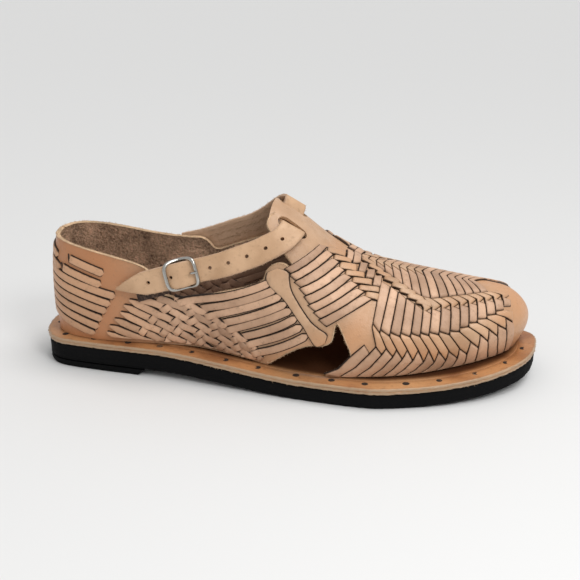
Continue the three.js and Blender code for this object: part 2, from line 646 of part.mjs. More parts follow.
const shoe = new THREE.Group();
shoe.name = 'huarache_sandal';
shoe.position.set(-MID_X, 0, 0);
shoe.add(
  part('outsole', outsole(), rubber('tyre_rubber')),
  part('heel_lift', heelLift(), rubber('tyre_rubber')),
  part('leather_sole', leatherSole(), leather('sole_leather', 0xb9794a, 0.6)),
  part('upper', upper(), leather('woven_leather', 0xc99c72, 0.55)),
  part('ankle_strap', ankleStrap(), leather('strap_leather', 0xcfa679, 0.5)),
  part('buckle_anchor', buckleAnchor(), leather('strap_leather', 0xb98a61, 0.7)),
  part('buckle_frame', buckleLoop(), nickel('nickel')),
  part('buckle_prong', buckleProng(), nickel('nickel')),
);

export default shoe;
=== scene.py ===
"""Huarache sandal for the right foot: woven leather upper, buckled ankle strap, leather sole, tyre-rubber outsole.

Shapes are worked out in millimetres from the heel (x towards the toe, y towards the medial side, z up)
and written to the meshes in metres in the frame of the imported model.
"""
import math
import random

import bmesh
import bpy
import numpy as np
from mathutils import Matrix, Vector


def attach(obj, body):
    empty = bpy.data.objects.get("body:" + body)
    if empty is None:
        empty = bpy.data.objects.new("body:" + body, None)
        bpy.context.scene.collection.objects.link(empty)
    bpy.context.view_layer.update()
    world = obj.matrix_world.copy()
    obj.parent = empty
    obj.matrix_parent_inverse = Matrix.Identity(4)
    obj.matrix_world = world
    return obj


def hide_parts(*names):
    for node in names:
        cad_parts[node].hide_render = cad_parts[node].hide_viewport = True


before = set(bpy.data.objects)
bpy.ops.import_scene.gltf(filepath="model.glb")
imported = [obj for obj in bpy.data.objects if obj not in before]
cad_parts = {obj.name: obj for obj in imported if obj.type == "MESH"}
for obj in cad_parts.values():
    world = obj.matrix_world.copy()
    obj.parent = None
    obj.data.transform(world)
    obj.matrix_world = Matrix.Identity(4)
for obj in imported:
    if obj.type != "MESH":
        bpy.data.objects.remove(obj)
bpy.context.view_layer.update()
rng = random.Random(7)

MID_X = 145.0
HALF_TURN = math.pi


def link(name, data):
    obj = bpy.data.objects.new(name, data)
    bpy.context.scene.collection.objects.link(obj)
    return obj


def metres(p):
    return (p[0] - MID_X) / 1000, p[1] / 1000, p[2] / 1000


def unit(v, tiny=0.0):
    return v / (np.linalg.norm(v, axis=-1, keepdims=True) + tiny)


def lengths(points):
    """Running length along a line of points."""
    return np.concatenate([[0], np.cumsum(np.linalg.norm(np.diff(points, axis=0), axis=1))])


def columns_at(want, run, rows):
    """Rows interpolated at the wanted places of a running length."""
    return np.stack([np.interp(want, run, c) for c in rows.T], 1)


def hermite(rows, slope, i, h, t):
    """Cubic between rows i and i + 1 with given slopes."""
    return ((2 * t**3 - 3 * t**2 + 1) * rows[i] + (t**3 - 2 * t**2 + t) * h * slope[i]
            + (3 * t**2 - 2 * t**3) * rows[i + 1] + (t**3 - t**2) * h * slope[i + 1])


# ---------------------------------------------------------------- camera
camera = link("camera", bpy.data.cameras.new("camera"))
camera.data.sensor_width = 36.0
camera.data.lens = 59.63
camera.data.clip_start = 0.01
camera.data.clip_end = 50.0
RIGHT = Vector((0.97969, 0.20046, -0.00475))
UP = Vector((-0.06551, 0.34234, 0.93729))
BACK = RIGHT.cross(UP).normalized()
turn = Matrix((RIGHT.normalized(), BACK.cross(RIGHT).normalized(), BACK)).transposed()
camera.matrix_world = Matrix.Translation((0.11046, -0.51782, 0.24285)) @ turn.to_4x4()
bpy.context.scene.camera = camera


# ---------------------------------------------------------------- tables and the last
def slopes(at, value):
    """Slopes of a monotone cubic through the rows, one column of values at a time."""
    step = np.diff(at)
    rate = np.diff(value) / step
    slope = np.zeros(len(at))

    def end(h0, h1, r0, r1):
        m = ((2 * h0 + h1) * r0 - h0 * r1) / (h0 + h1)
        if m * r0 <= 0:
            return 0.0
        if r0 * r1 <= 0 and abs(m) > 3 * abs(r0):
            return 3 * r0
        return m

    slope[0] = end(step[0], step[1], rate[0], rate[1])
    slope[-1] = end(step[-1], step[-2], rate[-1], rate[-2])
    for i in range(1, len(at) - 1):
        if rate[i - 1] * rate[i] > 0:
            w0 = 2 * step[i] + step[i - 1]
            w1 = step[i] + 2 * step[i - 1]
            slope[i] = (w0 + w1) / (w0 / rate[i - 1] + w1 / rate[i])
    return slope


class Curve:
    """Monotone cubic through rows; the first column is the place unless by_index is set."""

    def __init__(self, rows, by_index=False):
        rows = np.array(rows, float)
        self.at = np.arange(len(rows), dtype=float) if by_index else rows[:, 0]
        self.values = rows if by_index else rows[:, 1:]
        self.slopes = np.stack([slopes(self.at, v) for v in self.values.T], 1)

    def __call__(self, place):
        place = np.asarray(place, float)
        i = np.clip(np.searchsorted(self.at, place, side="right") - 1, 0, len(self.at) - 2)
        h = self.at[i + 1] - self.at[i]
        t = np.clip((place - self.at[i]) / h, 0, 1)[..., None]
        return hermite(self.values, self.slopes, i, h[..., None], t)


# Outline of the sole: x, half width to the lateral side, half width to the medial side.
SOLE = [
    (-2, 0, 0), (-0.5, 11, 11), (4, 22, 22), (14, 30.5, 30), (40, 34.5, 34), (80, 37.5, 34.5),
    (120, 43.5, 36), (160, 49.8, 45), (200, 53.2, 52.5), (225, 48, 53.2), (250, 38.5, 50),
    (272, 24.5, 42.5), (286, 8, 33), (290.8, -6, 26), (292, -17, 17),
]
# Sections of the last: place, foot x, lateral and medial half width, ridge x, y, z, power, bulge.
LAST = [
    (0, 5, 0, 0, 36, 0, 116, 2.6, 1), (8, 6.5, 11, 11, 37, 0, 116, 2.6, 1),
    (20, 13, 21, 21, 40, 0, 116, 2.6, 1.2), (34, 25, 27, 27, 46, 0, 116, 2.6, 1.4),
    (52, 44, 29.5, 29.5, 56, 0, 115, 2.5, 1.6), (76, 72, 28.5, 27, 76, 1, 114, 2.4, 2),
    (100, 98, 26.5, 25, 99, 2, 112, 2.3, 3.5), (126, 126, 31, 29, 124, 4, 106, 2.2, 4),
    (152, 152, 38, 35, 148, 6, 95, 2.1, 3.5), (178, 178, 42.5, 41, 172, 8, 76, 2.1, 3),
    (204, 204, 38, 44, 196, 11, 63.5, 2.2, 3.5), (228, 228, 29, 43, 218, 14, 58.5, 2.4, 4.5),
    (248, 248, 18, 40, 236, 16, 55, 2.6, 5), (262, 262, 9, 36, 248, 17, 53, 2.8, 5.5),
    (274, 273, -1, 31.5, 256, 18, 52, 2.9, 6), (284, 279.5, -11, 26, 261, 19, 51.5, 3, 6),
    (292, 281.5, -20, 20, 262, 19.5, 51.5, 3, 6),
]
sole_curve = Curve(SOLE, by_index=True)
last_curve = Curve(LAST)


def smooth(x, a, b):
    t = np.clip((np.asarray(x, float) - a) / (b - a), 0, 1)
    return t * t * (3 - 2 * t)


def toe_rise(x):
    return 6.5 * np.maximum((np.asarray(x, float) - 212) / 80, 0) ** 2


def underside(x):
    return 4 * (1 - smooth(x, 70, 170)) + toe_rise(x)


def rubber_top(x):
    return 14 + (8.5 - 14) * smooth(x, 70, 170) + toe_rise(x)


def sole_top(x):
    return rubber_top(x) + 3.8


def skin(at, phi):
    """Point of the last: phi is 0 at the lateral feather line, a quarter turn at the ridge, a half turn medially."""
    at, phi = np.broadcast_arrays(np.clip(np.asarray(at, float), 0, 292), np.clip(phi, 0, HALF_TURN))
    row = last_curve(at)
    foot, lateral, medial, rx, ry, rz, power, bulge = np.moveaxis(row, -1, 0)
    inner = phi > HALF_TURN / 2
    angle = np.where(inner, HALF_TURN - phi, phi)
    foot_y = np.where(inner, medial, -lateral)
    foot_z = sole_top(foot)
    across = np.maximum(np.cos(angle), 0) ** (2 / power)
    rise = np.maximum(np.sin(angle), 0) ** (2 / power)
    dx, dy = foot - rx, foot_y - ry
    swell = across + bulge * np.sin(np.pi * rise) / np.hypot(dx, dy)
    return np.stack([rx + dx * swell, ry + dy * swell, foot_z + (rz - foot_z) * rise + 0.3], -1)


def skin_frame(at, phi):
    """Point, slope along at, slope along phi and outward normal."""
    at = np.clip(at, 0.6, 291.4)
    phi = np.clip(phi, 0.012, HALF_TURN - 0.012)
    by_at = (skin(at + 0.5, phi) - skin(at - 0.5, phi)) / 1.0
    by_phi = (skin(at, phi + 0.01) - skin(at, phi - 0.01)) / 0.02
    return skin(at, phi), by_at, by_phi, unit(np.cross(by_at, by_phi), 1e-9)


def phi_at_height(at, z, medial=False):
    """Angle at which the section at a place reaches a height."""
    row = last_curve(np.asarray(at, float))
    foot_z = sole_top(row[..., 0]) + 0.3
    rise = np.clip((z - foot_z) / (row[..., 5] - foot_z), 0, 1)
    angle = np.arcsin(rise ** (row[..., 6] / 2))
    return HALF_TURN - angle if medial else angle


def locate(x, z, medial=False):
    """Place and angle of the skin's point seen from the side at x and z."""
    x, z = np.asarray(x, float), np.asarray(z, float)
    at = x.copy()
    for _ in range(14):
        phi = phi_at_height(at, z, medial)
        at = np.clip(at + (x - skin(at, phi)[..., 0]), 0, 292)
    return at, phi_at_height(at, z, medial)


def mirrored(points, medial=True):
    return [(at, HALF_TURN - phi, *rest) for at, phi, *rest in points] if medial else points


# ---------------------------------------------------------------- meshes
class Batch:
    """Collects closed pieces into one mesh with per-vertex tone, edge and run values; on the sole the run values carry
    the painted shade inside the upper.
    """

    def __init__(self):
        self.points, self.faces, self.tone, self.edge, self.run = [], [], [], [], []
        self.size = 0

    def rings(self, rings, tone=0.0, edge=None, run=None, closed_ends=True, joined=False):
        """rings is (count, around, 3): closed loops along a sweep."""
        rings = np.asarray(rings, float)
        n, m = rings.shape[:2]
        base = self.size
        self.points.append(rings.reshape(-1, 3))
        self.size += n * m
        i = np.arange(n if joined else n - 1)[:, None]
        j = np.arange(m)[None, :]
        a = base + i * m + j
        b = base + i * m + (j + 1) % m
        c = base + ((i + 1) % n) * m + (j + 1) % m
        d = base + ((i + 1) % n) * m + j
        self.faces.extend(np.stack([a, b, c, d], -1).reshape(-1, 4).tolist())
        if closed_ends and not joined:
            self.faces.append([base + k for k in range(m)][::-1])
            self.faces.append([base + (n - 1) * m + k for k in range(m)])
        self.tone.append(np.full(n * m, tone))
        edge = np.zeros((n, m)) if edge is None else np.broadcast_to(edge, (n, m))
        self.edge.append(edge.reshape(-1))
        run = np.zeros((n, m)) if run is None else np.broadcast_to(run, (n, m))
        self.run.append(run.reshape(-1))

    def build(self, name, material, sharp=60):
        points = np.concatenate(self.points).copy()
        points[:, 0] -= MID_X
        points /= 1000.0
        mesh = bpy.data.meshes.new(name)
        mesh.from_pydata(points.tolist(), [], self.faces)
        for label, data in (("tone", self.tone), ("edge", self.edge), ("run", self.run)):
            layer = mesh.attributes.new(label, "FLOAT", "POINT")
            layer.data.foreach_set("value", np.concatenate(data).astype(np.float32))
        return finished(name, mesh, material, sharp)


def finished(name, mesh, material, sharp=60):
    bm = bmesh.new()
    bm.from_mesh(mesh)
    bmesh.ops.recalc_face_normals(bm, faces=bm.faces)
    bm.to_mesh(mesh)
    bm.free()
    mesh.shade_smooth()
    mesh.set_sharp_from_angle(angle=math.radians(sharp))
    mesh.materials.append(material)
    obj = link(name, mesh)
    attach(obj, "root")
    return obj


def object_of(bm, name):
    mesh = bpy.data.meshes.new(name)
    bm.to_mesh(mesh)
    bm.free()
    return link(name, mesh)


JOIN_DISTANCE = 0.00004    # metres


def weld(obj):
    """Joins the points that meet at the middle of a shell."""
    bm = bmesh.new()
    bm.from_mesh(obj.data)
    bmesh.ops.remove_doubles(bm, verts=bm.verts, dist=JOIN_DISTANCE)
    bmesh.ops.recalc_face_normals(bm, faces=bm.faces)
    bm.to_mesh(obj.data)
    bm.free()
    return obj


def solid_between(name, near, far):
    """Closed solid between two loops given in millimetres."""
    bm = bmesh.new()
    low, high = ([bm.verts.new(metres(p)) for p in ring] for ring in (near, far))
    bm.faces.new(low[::-1])
    bm.faces.new(high)
    for i in range(len(low)):
        j = (i + 1) % len(low)
        bm.faces.new((low[i], low[j], high[j], high[i]))
    bmesh.ops.recalc_face_normals(bm, faces=bm.faces)
    return object_of(bm, name)


# Section of a leather strip: place across (-1 to 1), height from the top's level, darkness (painted shade rising over
# the rounded shoulders to the dark sides).
STRIP = np.array([
    (-1.0, -1.7, 1.0), (-1.0, -0.75, 1.0), (-0.985, -0.42, 0.85), (-0.92, -0.17, 0.5), (-0.78, -0.05, 0.22),
    (-0.4, 0.0, 0.0), (0.0, 0.03, 0.0), (0.4, 0.0, 0.0), (0.78, -0.05, 0.22), (0.92, -0.17, 0.5),
    (0.985, -0.42, 0.85), (1.0, -0.75, 1.0), (1.0, -1.7, 1.0),
])


def resample(points, step, smooth_it=True):
    """Even steps along a path of rows (at, phi, more...), measured on the skin."""
    points = np.asarray(points, float)
    place = skin(points[:, 0], points[:, 1])
    chord = lengths(place)
    chord += np.arange(len(chord)) * 1e-6
    dense = np.linspace(0, chord[-1], max(40, int(chord[-1] / 0.5)))
    if smooth_it and len(points) > 2:
        rows = catmull(chord, points, dense)
    else:
        rows = columns_at(dense, chord, points)
    run = lengths(skin(rows[:, 0], rows[:, 1]))
    want = np.linspace(0, run[-1], max(3, int(round(run[-1] / step)) + 1))
    return columns_at(want, run, rows), want


def catmull(knots, rows, at):
    """Smooth curve through rows at uneven knots, slopes from the neighbours."""
    slope = np.gradient(rows, knots, axis=0)
    i = np.clip(np.searchsorted(knots, at, side="right") - 1, 0, len(knots) - 2)
    h = (knots[i + 1] - knots[i])[:, None]
    t = ((at - knots[i]) / h[:, 0])[:, None]
    return hermite(rows, slope, i, h, t)


def sweep(batch, path, run, width, top, section=STRIP, tone=0.0, flip=1.0):
    """Lays a section along a path on the skin. width and top are per step; top is the height over the skin."""
    at, phi = path[:, 0], path[:, 1]
    place, by_at, by_phi, normal = skin_frame(at, phi)
    along = np.gradient(place, axis=0)
    along -= normal * np.sum(along * normal, -1, keepdims=True)
    across = np.cross(normal, unit(along, 1e-9))
    u = section[:, 0][None, :] * np.broadcast_to(width, run.shape)[:, None] / 2
    h = np.broadcast_to(top, run.shape)[:, None] + section[:, 1][None, :] * flip
    g11, g12, g22, b1, b2 = (np.sum(a * b, -1) for a, b in (
        (by_at, by_at), (by_at, by_phi), (by_phi, by_phi), (across, by_at), (across, by_phi)))
    det = g11 * g22 - g12 * g12
    da = (b1 * g22 - b2 * g12) / det
    dp = (b2 * g11 - b1 * g12) / det
    spot, _, _, spot_normal = skin_frame(at[:, None] + da[:, None] * u, phi[:, None] + dp[:, None] * u)
    rings = spot + spot_normal * h[..., None]
    batch.rings(rings, tone, section[:, 2][None, :], run[:, None] + np.zeros_like(u))


def dipped(height, run, dip, depth):
    """Heights that sink into the slits over the dip length at each end."""
    for size, gone in ((dip[0], run), (dip[1], run[-1] - run)):
        if size > 0:
            height = height - depth * (1 - np.clip(gone / size, 0, 1)) ** 2
    return height


def lay_strip(batch, points, width, top=1.1, step=1.6, dip=(2.2, 2.2), depth=1.5, tips=(0.0, 0.0), tone=None,
              waves=None, flip=1.0, shade_bed=True):
    """One strip: dips into its slit over the dip length at each end, narrows to a point over the tip length."""
    path, run = resample(points, step)
    height = np.full(len(run), float(top))
    if waves is not None:
        height = height + waves(run)
    height = dipped(height, run, dip, depth)
    w = path[:, 2].copy() if path.shape[1] > 2 else np.full(len(run), float(width))
    for size, gone in ((tips[0], run), (tips[1], run[-1] - run)):
        if size > 0:
            w *= 0.06 + 0.94 * np.clip(gone / size, 0, 1) ** 0.8
    tone = rng.uniform(-1, 1) if tone is None else tone
    sweep(batch, path, run, w, height, STRIP, tone, flip)
    # Painted shade: a dark bed a little wider than the strip lies under it, showing as a dark outline in the gap.
    if shade_bed:
        sweep(shade_beds, path, run, w + 0.85, height - 0.85, SHADE_BED)


# Section of the dark bed under a strip: painted shade in the gaps round it.
SHADE_BED = np.array([(-1, -0.6, 1), (-1, 0, 1), (0, 0, 1), (1, 0, 1), (1, -0.6, 1)], float)


def even(points, count):
    """Evenly spaced places along a line of (at, phi) measured on the skin, corners kept."""
    points = np.asarray(points, float)
    t = np.linspace(0, 1, 12)[:, None]
    fine = np.vstack([a * (1 - t) + b * t for a, b in zip(points[:-1], points[1:])])
    run = lengths(skin(fine[:, 0], fine[:, 1]))
    run += np.arange(len(run)) * 1e-7
    return columns_at(np.linspace(0, run[-1], count), run, fine), run[-1]


def patch(batch, left, right, tone, top=1.0, gap=0.5, step=1.3, dip=(1.0, 1.0), depth=1.2, bulge=0.0):
    """A strip that fills the field between two borders, each a line of (at, phi) from its head to its foot."""
    length = max(even(left, 5)[1], even(right, 5)[1])
    count = max(5, int(length / step) + 1)
    a, b = even(left, count)[0], even(right, count)[0]
    width = np.linalg.norm(skin(a[:, 0], a[:, 1]) - skin(b[:, 0], b[:, 1]), axis=1)
    run = np.linspace(0, length, count)

    def fill(target, section, gap, height):
        share = np.clip(1 - gap / np.maximum(width, 0.5), 0.15, 1.6)
        t = 0.5 + 0.5 * section[:, 0][None, :] * share[:, None]
        at = a[:, 0, None] * (1 - t) + b[:, 0, None] * t
        phi = a[:, 1, None] * (1 - t) + b[:, 1, None] * t
        spot, _, _, normal = skin_frame(at, phi)
        rings = spot + normal * (height[:, None] + section[:, 1][None, :])[..., None]
        dark = np.broadcast_to(section[:, 2][None, :], t.shape).copy()
        # Painted shade: the first and last rows, where the strip dives into its slits, take a dark edge value.
        if section is not SHADE_BED:
            dark[0], dark[-1] = 0.9, 0.9
        target.rings(rings, tone, dark, run[:, None] + np.zeros_like(t))

    fill(batch, STRIP, gap, dipped(np.full(count, float(top)) + bulge * np.sin(np.pi * run / length), run, dip, depth))
    # Painted shade: a dark bed under the field, showing in the gap round the strip.
    fill(shade_beds, SHADE_BED, -0.35, np.full(count, -0.08))


def towards(a, b, size):
    """The place that lies a size in millimetres from a on the way to b."""
    a, b = np.asarray(a, float), np.asarray(b, float)
    share = size / max(float(np.linalg.norm(skin(*a) - skin(*b))), 0.1)
    return tuple(a + (b - a) * share)


def lay_slit_shade(batch, points, width=0.9, height=0.9, step=1.2):
    """Painted shade of a slit where the leather is cut: a thin dark lens over the wall."""
    path, run = resample(points, step)
    t = run / run[-1]
    w = width * (0.15 + 0.85 * np.sin(np.pi * np.clip(t, 0.02, 0.98)) ** 0.5)
    section = np.array([(-1, -0.6, 1), (-0.8, -0.05, 1), (0, 0.05, 1), (0.8, -0.05, 1), (1, -0.6, 1)], float)
    sweep(batch, path, run, w, height, section)


# ---------------------------------------------------------------- materials
def nodes_of(name):
    material = bpy.data.materials.new(name)
    material.use_nodes = True
    tree = material.node_tree
    tree.nodes.clear()
    out = tree.nodes.new("ShaderNodeOutputMaterial")
    shader = tree.nodes.new("ShaderNodeBsdfPrincipled")
    tree.links.new(shader.outputs[0], out.inputs[0])
    return material, tree, shader


def coordinates(tree, scale=(1, 1, 1)):
    where = tree.nodes.new("ShaderNodeTexCoord")
    mapping = tree.nodes.new("ShaderNodeMapping")
    mapping.inputs["Scale"].default_value = scale
    tree.links.new(where.outputs["Object"], mapping.inputs[0])
    return mapping.outputs[0]


def noise(tree, vector, scale, detail=4.0, rough=0.6):
    node = tree.nodes.new("ShaderNodeTexNoise")
    node.inputs["Scale"].default_value = scale
    node.inputs["Detail"].default_value = detail
    node.inputs["Roughness"].default_value = rough
    tree.links.new(vector, node.inputs["Vector"])
    return node.outputs["Fac"]


def remap(tree, value, a, b, lo=0.0, hi=1.0):
    node = tree.nodes.new("ShaderNodeMapRange")
    node.inputs["From Min"].default_value = a
    node.inputs["From Max"].default_value = b
    node.inputs["To Min"].default_value = lo
    node.inputs["To Max"].default_value = hi
    tree.links.new(value, node.inputs["Value"])
    return node.outputs[0]


def mix(tree, fac, first, second, kind="MIX"):
    node = tree.nodes.new("ShaderNodeMix")
    node.data_type = "RGBA"
    node.blend_type = kind
    for socket, value in ((0, fac), (6, first), (7, second)):
        if isinstance(value, bpy.types.NodeSocket):
            tree.links.new(value, node.inputs[socket])
        elif socket == 0:
            node.inputs[socket].default_value = value
        else:
            node.inputs[socket].default_value = (*value, 1.0)
    return node.outputs[2]


def math_node(tree, kind, a, b):
    node = tree.nodes.new("ShaderNodeMath")
    node.operation = kind
    for i, value in enumerate((a, b)):
        if isinstance(value, bpy.types.NodeSocket):
            tree.links.new(value, node.inputs[i])
        else:
            node.inputs[i].default_value = value
    return node.outputs[0]


def weighted(tree, first, share, second, other):
    return math_node(tree, "ADD", math_node(tree, "MULTIPLY", first, share), math_node(tree, "MULTIPLY", second, other))


def attribute(tree, name):
    node = tree.nodes.new("ShaderNodeAttribute")
    node.attribute_name = name
    return node.outputs["Fac"]


def bump(tree, shader, height, strength, distance):
    node = tree.nodes.new("ShaderNodeBump")
    node.inputs["Strength"].default_value = strength
    node.inputs["Distance"].default_value = distance
    tree.links.new(height, node.inputs["Height"])
    tree.links.new(node.outputs[0], shader.inputs["Normal"])


def leather(name, light, dark, roughness=0.5, edge_and_gap_shade_color=(0.05, 0.025, 0.012), warm=None, speck=0.35, heel=None,
            painted_inside_shade=None):
    """Vegetable-tanned leather: mottled tone, pores, small scuffs, painted shade over the rounded shoulders, and cut
    edges in the edge colour, whose near-black default is painted shade in the gaps.
    """
    material, tree, shader = nodes_of(name)
    where = coordinates(tree)
    cloud = noise(tree, where, 45, 3, 0.55)
    fine = noise(tree, where, 420, 5, 0.65)
    pores = noise(tree, where, 1900, 2, 0.5)
    color = mix(tree, remap(tree, cloud, 0.35, 0.65), light, dark)
    if warm is not None:
        patch = noise(tree, where, 18, 2, 0.5)
        color = mix(tree, remap(tree, patch, 0.48, 0.68, 0, 0.75), color, warm)
    if heel is not None:
        parts = tree.nodes.new("ShaderNodeSeparateXYZ")
        tree.links.new(where, parts.inputs[0])
        back = math_node(tree, "ADD", parts.outputs[0], math_node(tree, "MULTIPLY", cloud, 0.03))
        color = mix(tree, remap(tree, back, -0.045, -0.085, 0, 0.9), color, heel)
    tone = attribute(tree, "tone")
    tinted = mix(tree, remap(tree, tone, -1, 1, 0, 1), (0.80, 0.77, 0.75), (1.1, 1.08, 1.07))
    color = mix(tree, 1.0, color, tinted, "MULTIPLY")
    color = mix(tree, remap(tree, fine, 0.56, 0.78, 0, speck), color, tuple(c * 0.55 for c in dark))
    edge_and_shade_mask = math_node(tree, "ADD", attribute(tree, "edge"), remap(tree, fine, 0.3, 0.7, -0.18, 0.18))
    # Painted shade: the rounded shoulders darken as the edge value rises towards the sides.
    color = mix(tree, remap(tree, edge_and_shade_mask, 0.05, 0.5, 0, 0.35), color, tuple(c * 0.6 for c in dark))
    # Sides take the edge colour: the strap's and sole's own cut-edge colour, or the near-black default as painted shade
    # in the gaps.
    color = mix(tree, remap(tree, edge_and_shade_mask, 0.4, 0.95, 0, 1), color, edge_and_gap_shade_color)
    # Painted shade: the sole's top inside the upper darkens where the run value rises.
    if painted_inside_shade is not None:
        inside_shade_mask = math_node(tree, "ADD", attribute(tree, "run"), math_node(tree, "MULTIPLY", cloud, 0.3))
        color = mix(tree, remap(tree, inside_shade_mask, 0.15, 1.0, 0, 0.96), color, painted_inside_shade)
    tree.links.new(color, shader.inputs["Base Color"])
    rough = remap(tree, fine, 0.3, 0.7, roughness - 0.08, roughness + 0.14)
    tree.links.new(rough, shader.inputs["Roughness"])
    shader.inputs["Specular IOR Level"].default_value = 0.45
    if painted_inside_shade is not None:
        tree.links.new(remap(tree, attribute(tree, "run"), 0, 0.6, 0.45, 0.0), shader.inputs["Specular IOR Level"])
        tree.links.new(remap(tree, attribute(tree, "run"), 0, 0.6, roughness, 1.0), shader.inputs["Roughness"])
    bump(tree, shader, weighted(tree, fine, 0.8, pores, 0.35), 0.55, 0.0006)
    return material


def plain(name, color, roughness, metallic=0.0, scale=300, strength=0.3, distance=0.0004, spread=0.25,
          stretch=(1, 1, 1), specular=0.5):
    material, tree, shader = nodes_of(name)
    shader.inputs["Specular IOR Level"].default_value = specular
    where = coordinates(tree, stretch)
    fine = noise(tree, where, scale, 6, 0.65)
    cloud = noise(tree, where, scale / 9, 3, 0.5)
    low = tuple(c * (1 - spread) for c in color)
    high = tuple(min(c * (1 + spread), 1) for c in color)
    color = mix(tree, remap(tree, weighted(tree, fine, 0.5, cloud, 0.5), 0.35, 0.65), low, high)
    tree.links.new(color, shader.inputs["Base Color"])
    tree.links.new(remap(tree, fine, 0.3, 0.7, max(roughness - 0.1, 0.02), roughness + 0.1), shader.inputs["Roughness"])
    shader.inputs["Metallic"].default_value = metallic
    bump(tree, shader, fine, strength, distance)
    return material


# Strips and bands keep the near-black default edge colour: painted shade in the gaps beside each strip.
STRIP_LEATHER = leather("strip_leather", (0.67, 0.43, 0.28), (0.46, 0.28, 0.175), 0.42, speck=0.6,
                        heel=(0.60, 0.34, 0.19))
SMOOTH_LEATHER = leather("smooth_leather", (0.60, 0.39, 0.24), (0.46, 0.28, 0.16), 0.34, warm=(0.60, 0.30, 0.14),
                         speck=0.25, heel=(0.50, 0.215, 0.09))
STRAP_LEATHER = leather("strap_leather", (0.63, 0.41, 0.245), (0.46, 0.28, 0.155), 0.4, speck=0.5,
                        edge_and_gap_shade_color=(0.58, 0.38, 0.25))
SUEDE = plain("suede_inside", (0.56, 0.355, 0.235), 0.95, scale=620, strength=1.0, distance=0.003, spread=0.75,
              specular=0.1)
# The inner strips' near-black edge colour is painted shade between them.
INNER_STRIP = leather("inner_strip", (0.44, 0.27, 0.18), (0.29, 0.175, 0.115), 0.8, edge_and_gap_shade_color=(0.03, 0.015, 0.01))
RAW_EDGE = plain("raw_edge", (0.60, 0.41, 0.25), 0.9, scale=900, strength=0.9, distance=0.0009, spread=0.35)
# Near-black: painted shade in slits, gaps and holes, and the dark iron of the sunk nail heads.
SHADE_BLACK = plain("slit", (0.022, 0.011, 0.006), 0.9, scale=500, spread=0.3)
# The sole leather's last, near-black colour is painted shade on its top inside the upper.
SOLE_LEATHER = leather("sole_leather", (0.53, 0.25, 0.10), (0.33, 0.135, 0.05), 0.36, warm=(0.58, 0.31, 0.14),
                       speck=0.6, edge_and_gap_shade_color=(0.42, 0.285, 0.175), painted_inside_shade=(0.055, 0.019, 0.009))
RUBBER = plain("tyre_rubber", (0.0035, 0.0035, 0.0038), 0.85, scale=260, strength=0.55, distance=0.0012, spread=0.4,
               stretch=(0.25, 0.25, 3), specular=0.12)
NICKEL = plain("nickel", (0.46, 0.45, 0.42), 0.2, metallic=1.0, scale=900, strength=0.08, distance=0.0002, spread=0.1)

# ---------------------------------------------------------------- wall of the upper
TOP_LATERAL = [(4, 77.5), (24, 74.8), (49, 70), (66, 65.6), (72.5, 61.5), (74, 55), (76, 50.8), (82, 48.4),
               (97, 47.2), (115, 53.3), (135, 59.8), (141, 64)]
TOP_MEDIAL = [(4, 77.5), (26, 73.5), (54, 69), (78, 67.6), (88, 67.8), (93, 65), (96, 61.5), (100, 61), (107, 63.6),
              (117, 67), (126, 69.8), (133, 69.8), (138, 67.5), (141, 64.6)]
LOBE = (148.7, 64.5, 7.7)
TAB_NOTCH = (156.5, 71)
TAB_CORNER = (151.6, 76.2)
TAB_EAR = (143.4, 91.5, 4.2)
CUT_OUT = [(139, 8), (144, 15), (151, 20.5), (158, 25.5), (167, 30), (175, 31), (180, 34), (182.5, 43.5),
           (188, 34), (191, 25), (185, 17.5), (176, 12), (175, 8)]
TAB_SLOTS = [(152.5, HALF_TURN - math.radians(82)), (155.5, math.radians(69.6))]


def spline(points, per=8):
    """Smooth line through points, like a Catmull-Rom spline."""
    points = np.asarray(points, float)
    ghost = np.vstack([2 * points[0] - points[1], points, 2 * points[-1] - points[-2]])
    made = []
    for i in range(1, len(ghost) - 2):
        p0, p1, p2, p3 = ghost[i - 1], ghost[i], ghost[i + 1], ghost[i + 2]
        for k in range(per):
            t = k / per
            made.append(0.5 * (2 * p1 + (p2 - p0) * t + (2 * p0 - 5 * p1 + 4 * p2 - p3) * t * t
                               + (3 * p1 - p0 - 3 * p2 + p3) * t**3))
    made.append(points[-1])
    return np.array(made)


def arc(centre_x, centre_z, radius, start, stop, count):
    angle = np.linspace(start, stop, count)
    return np.stack([centre_x + radius * np.cos(angle), centre_z + radius * np.sin(angle)], 1)


def top_edge(line):
    """Line of the collar, the lobe of the spine, the notch and the tab's wing and ear, seen from the side."""
    return np.vstack([
        spline(line, 8),
        arc(*LOBE, np.pi, 0, 18),
        [TAB_NOTCH], [TAB_CORNER],
        arc(*TAB_EAR, 1.2 * np.pi, np.pi, 6)[:-1],
        arc(*TAB_EAR, np.pi, 0.62 * np.pi, 6),
    ])


def prism(name, outline, low, high):
    """Closed prism of an (x, z) outline between two y."""
    return solid_between(name, *([(x, y, z) for x, z in outline] for y in (low, high)))


def cut(obj, cutters):
    """Cuts each cutter from obj and removes it."""
    for cutter in cutters:
        modifier = obj.modifiers.new("cut", "BOOLEAN")
        modifier.operation = "DIFFERENCE"
        modifier.solver = "EXACT"
        modifier.object = cutter
        graph = bpy.context.evaluated_depsgraph_get()
        made = bpy.data.meshes.new_from_object(obj.evaluated_get(graph))
        obj.modifiers.clear()
        old = obj.data
        obj.data = made
        bpy.data.meshes.remove(old)
        bpy.data.objects.remove(cutter)


def slot_cutter(at, phi, length=19.0, width=7.6):
    """Round-ended slot through the wall, its length along the foot."""
    place, by_at, _, normal = skin_frame(np.array(at), np.array(phi))
    place, along, normal = Vector(place), Vector(by_at), Vector(normal)
    along = (along - normal * along.dot(normal)).normalized()
    side = normal.cross(along)
    half = length / 2 - width / 2
    outline = np.vstack([arc(half, 0, width / 2, -np.pi / 2, np.pi / 2, 10),
                         arc(-half, 0, width / 2, np.pi / 2, 1.5 * np.pi, 10)])
    return solid_between("slot", *([place + along * a + side * b + normal * depth for a, b in outline]
                                   for depth in (-8.0, 8.0)))


OUTER_LIFT = -0.35
INNER_LIFT = -2.3


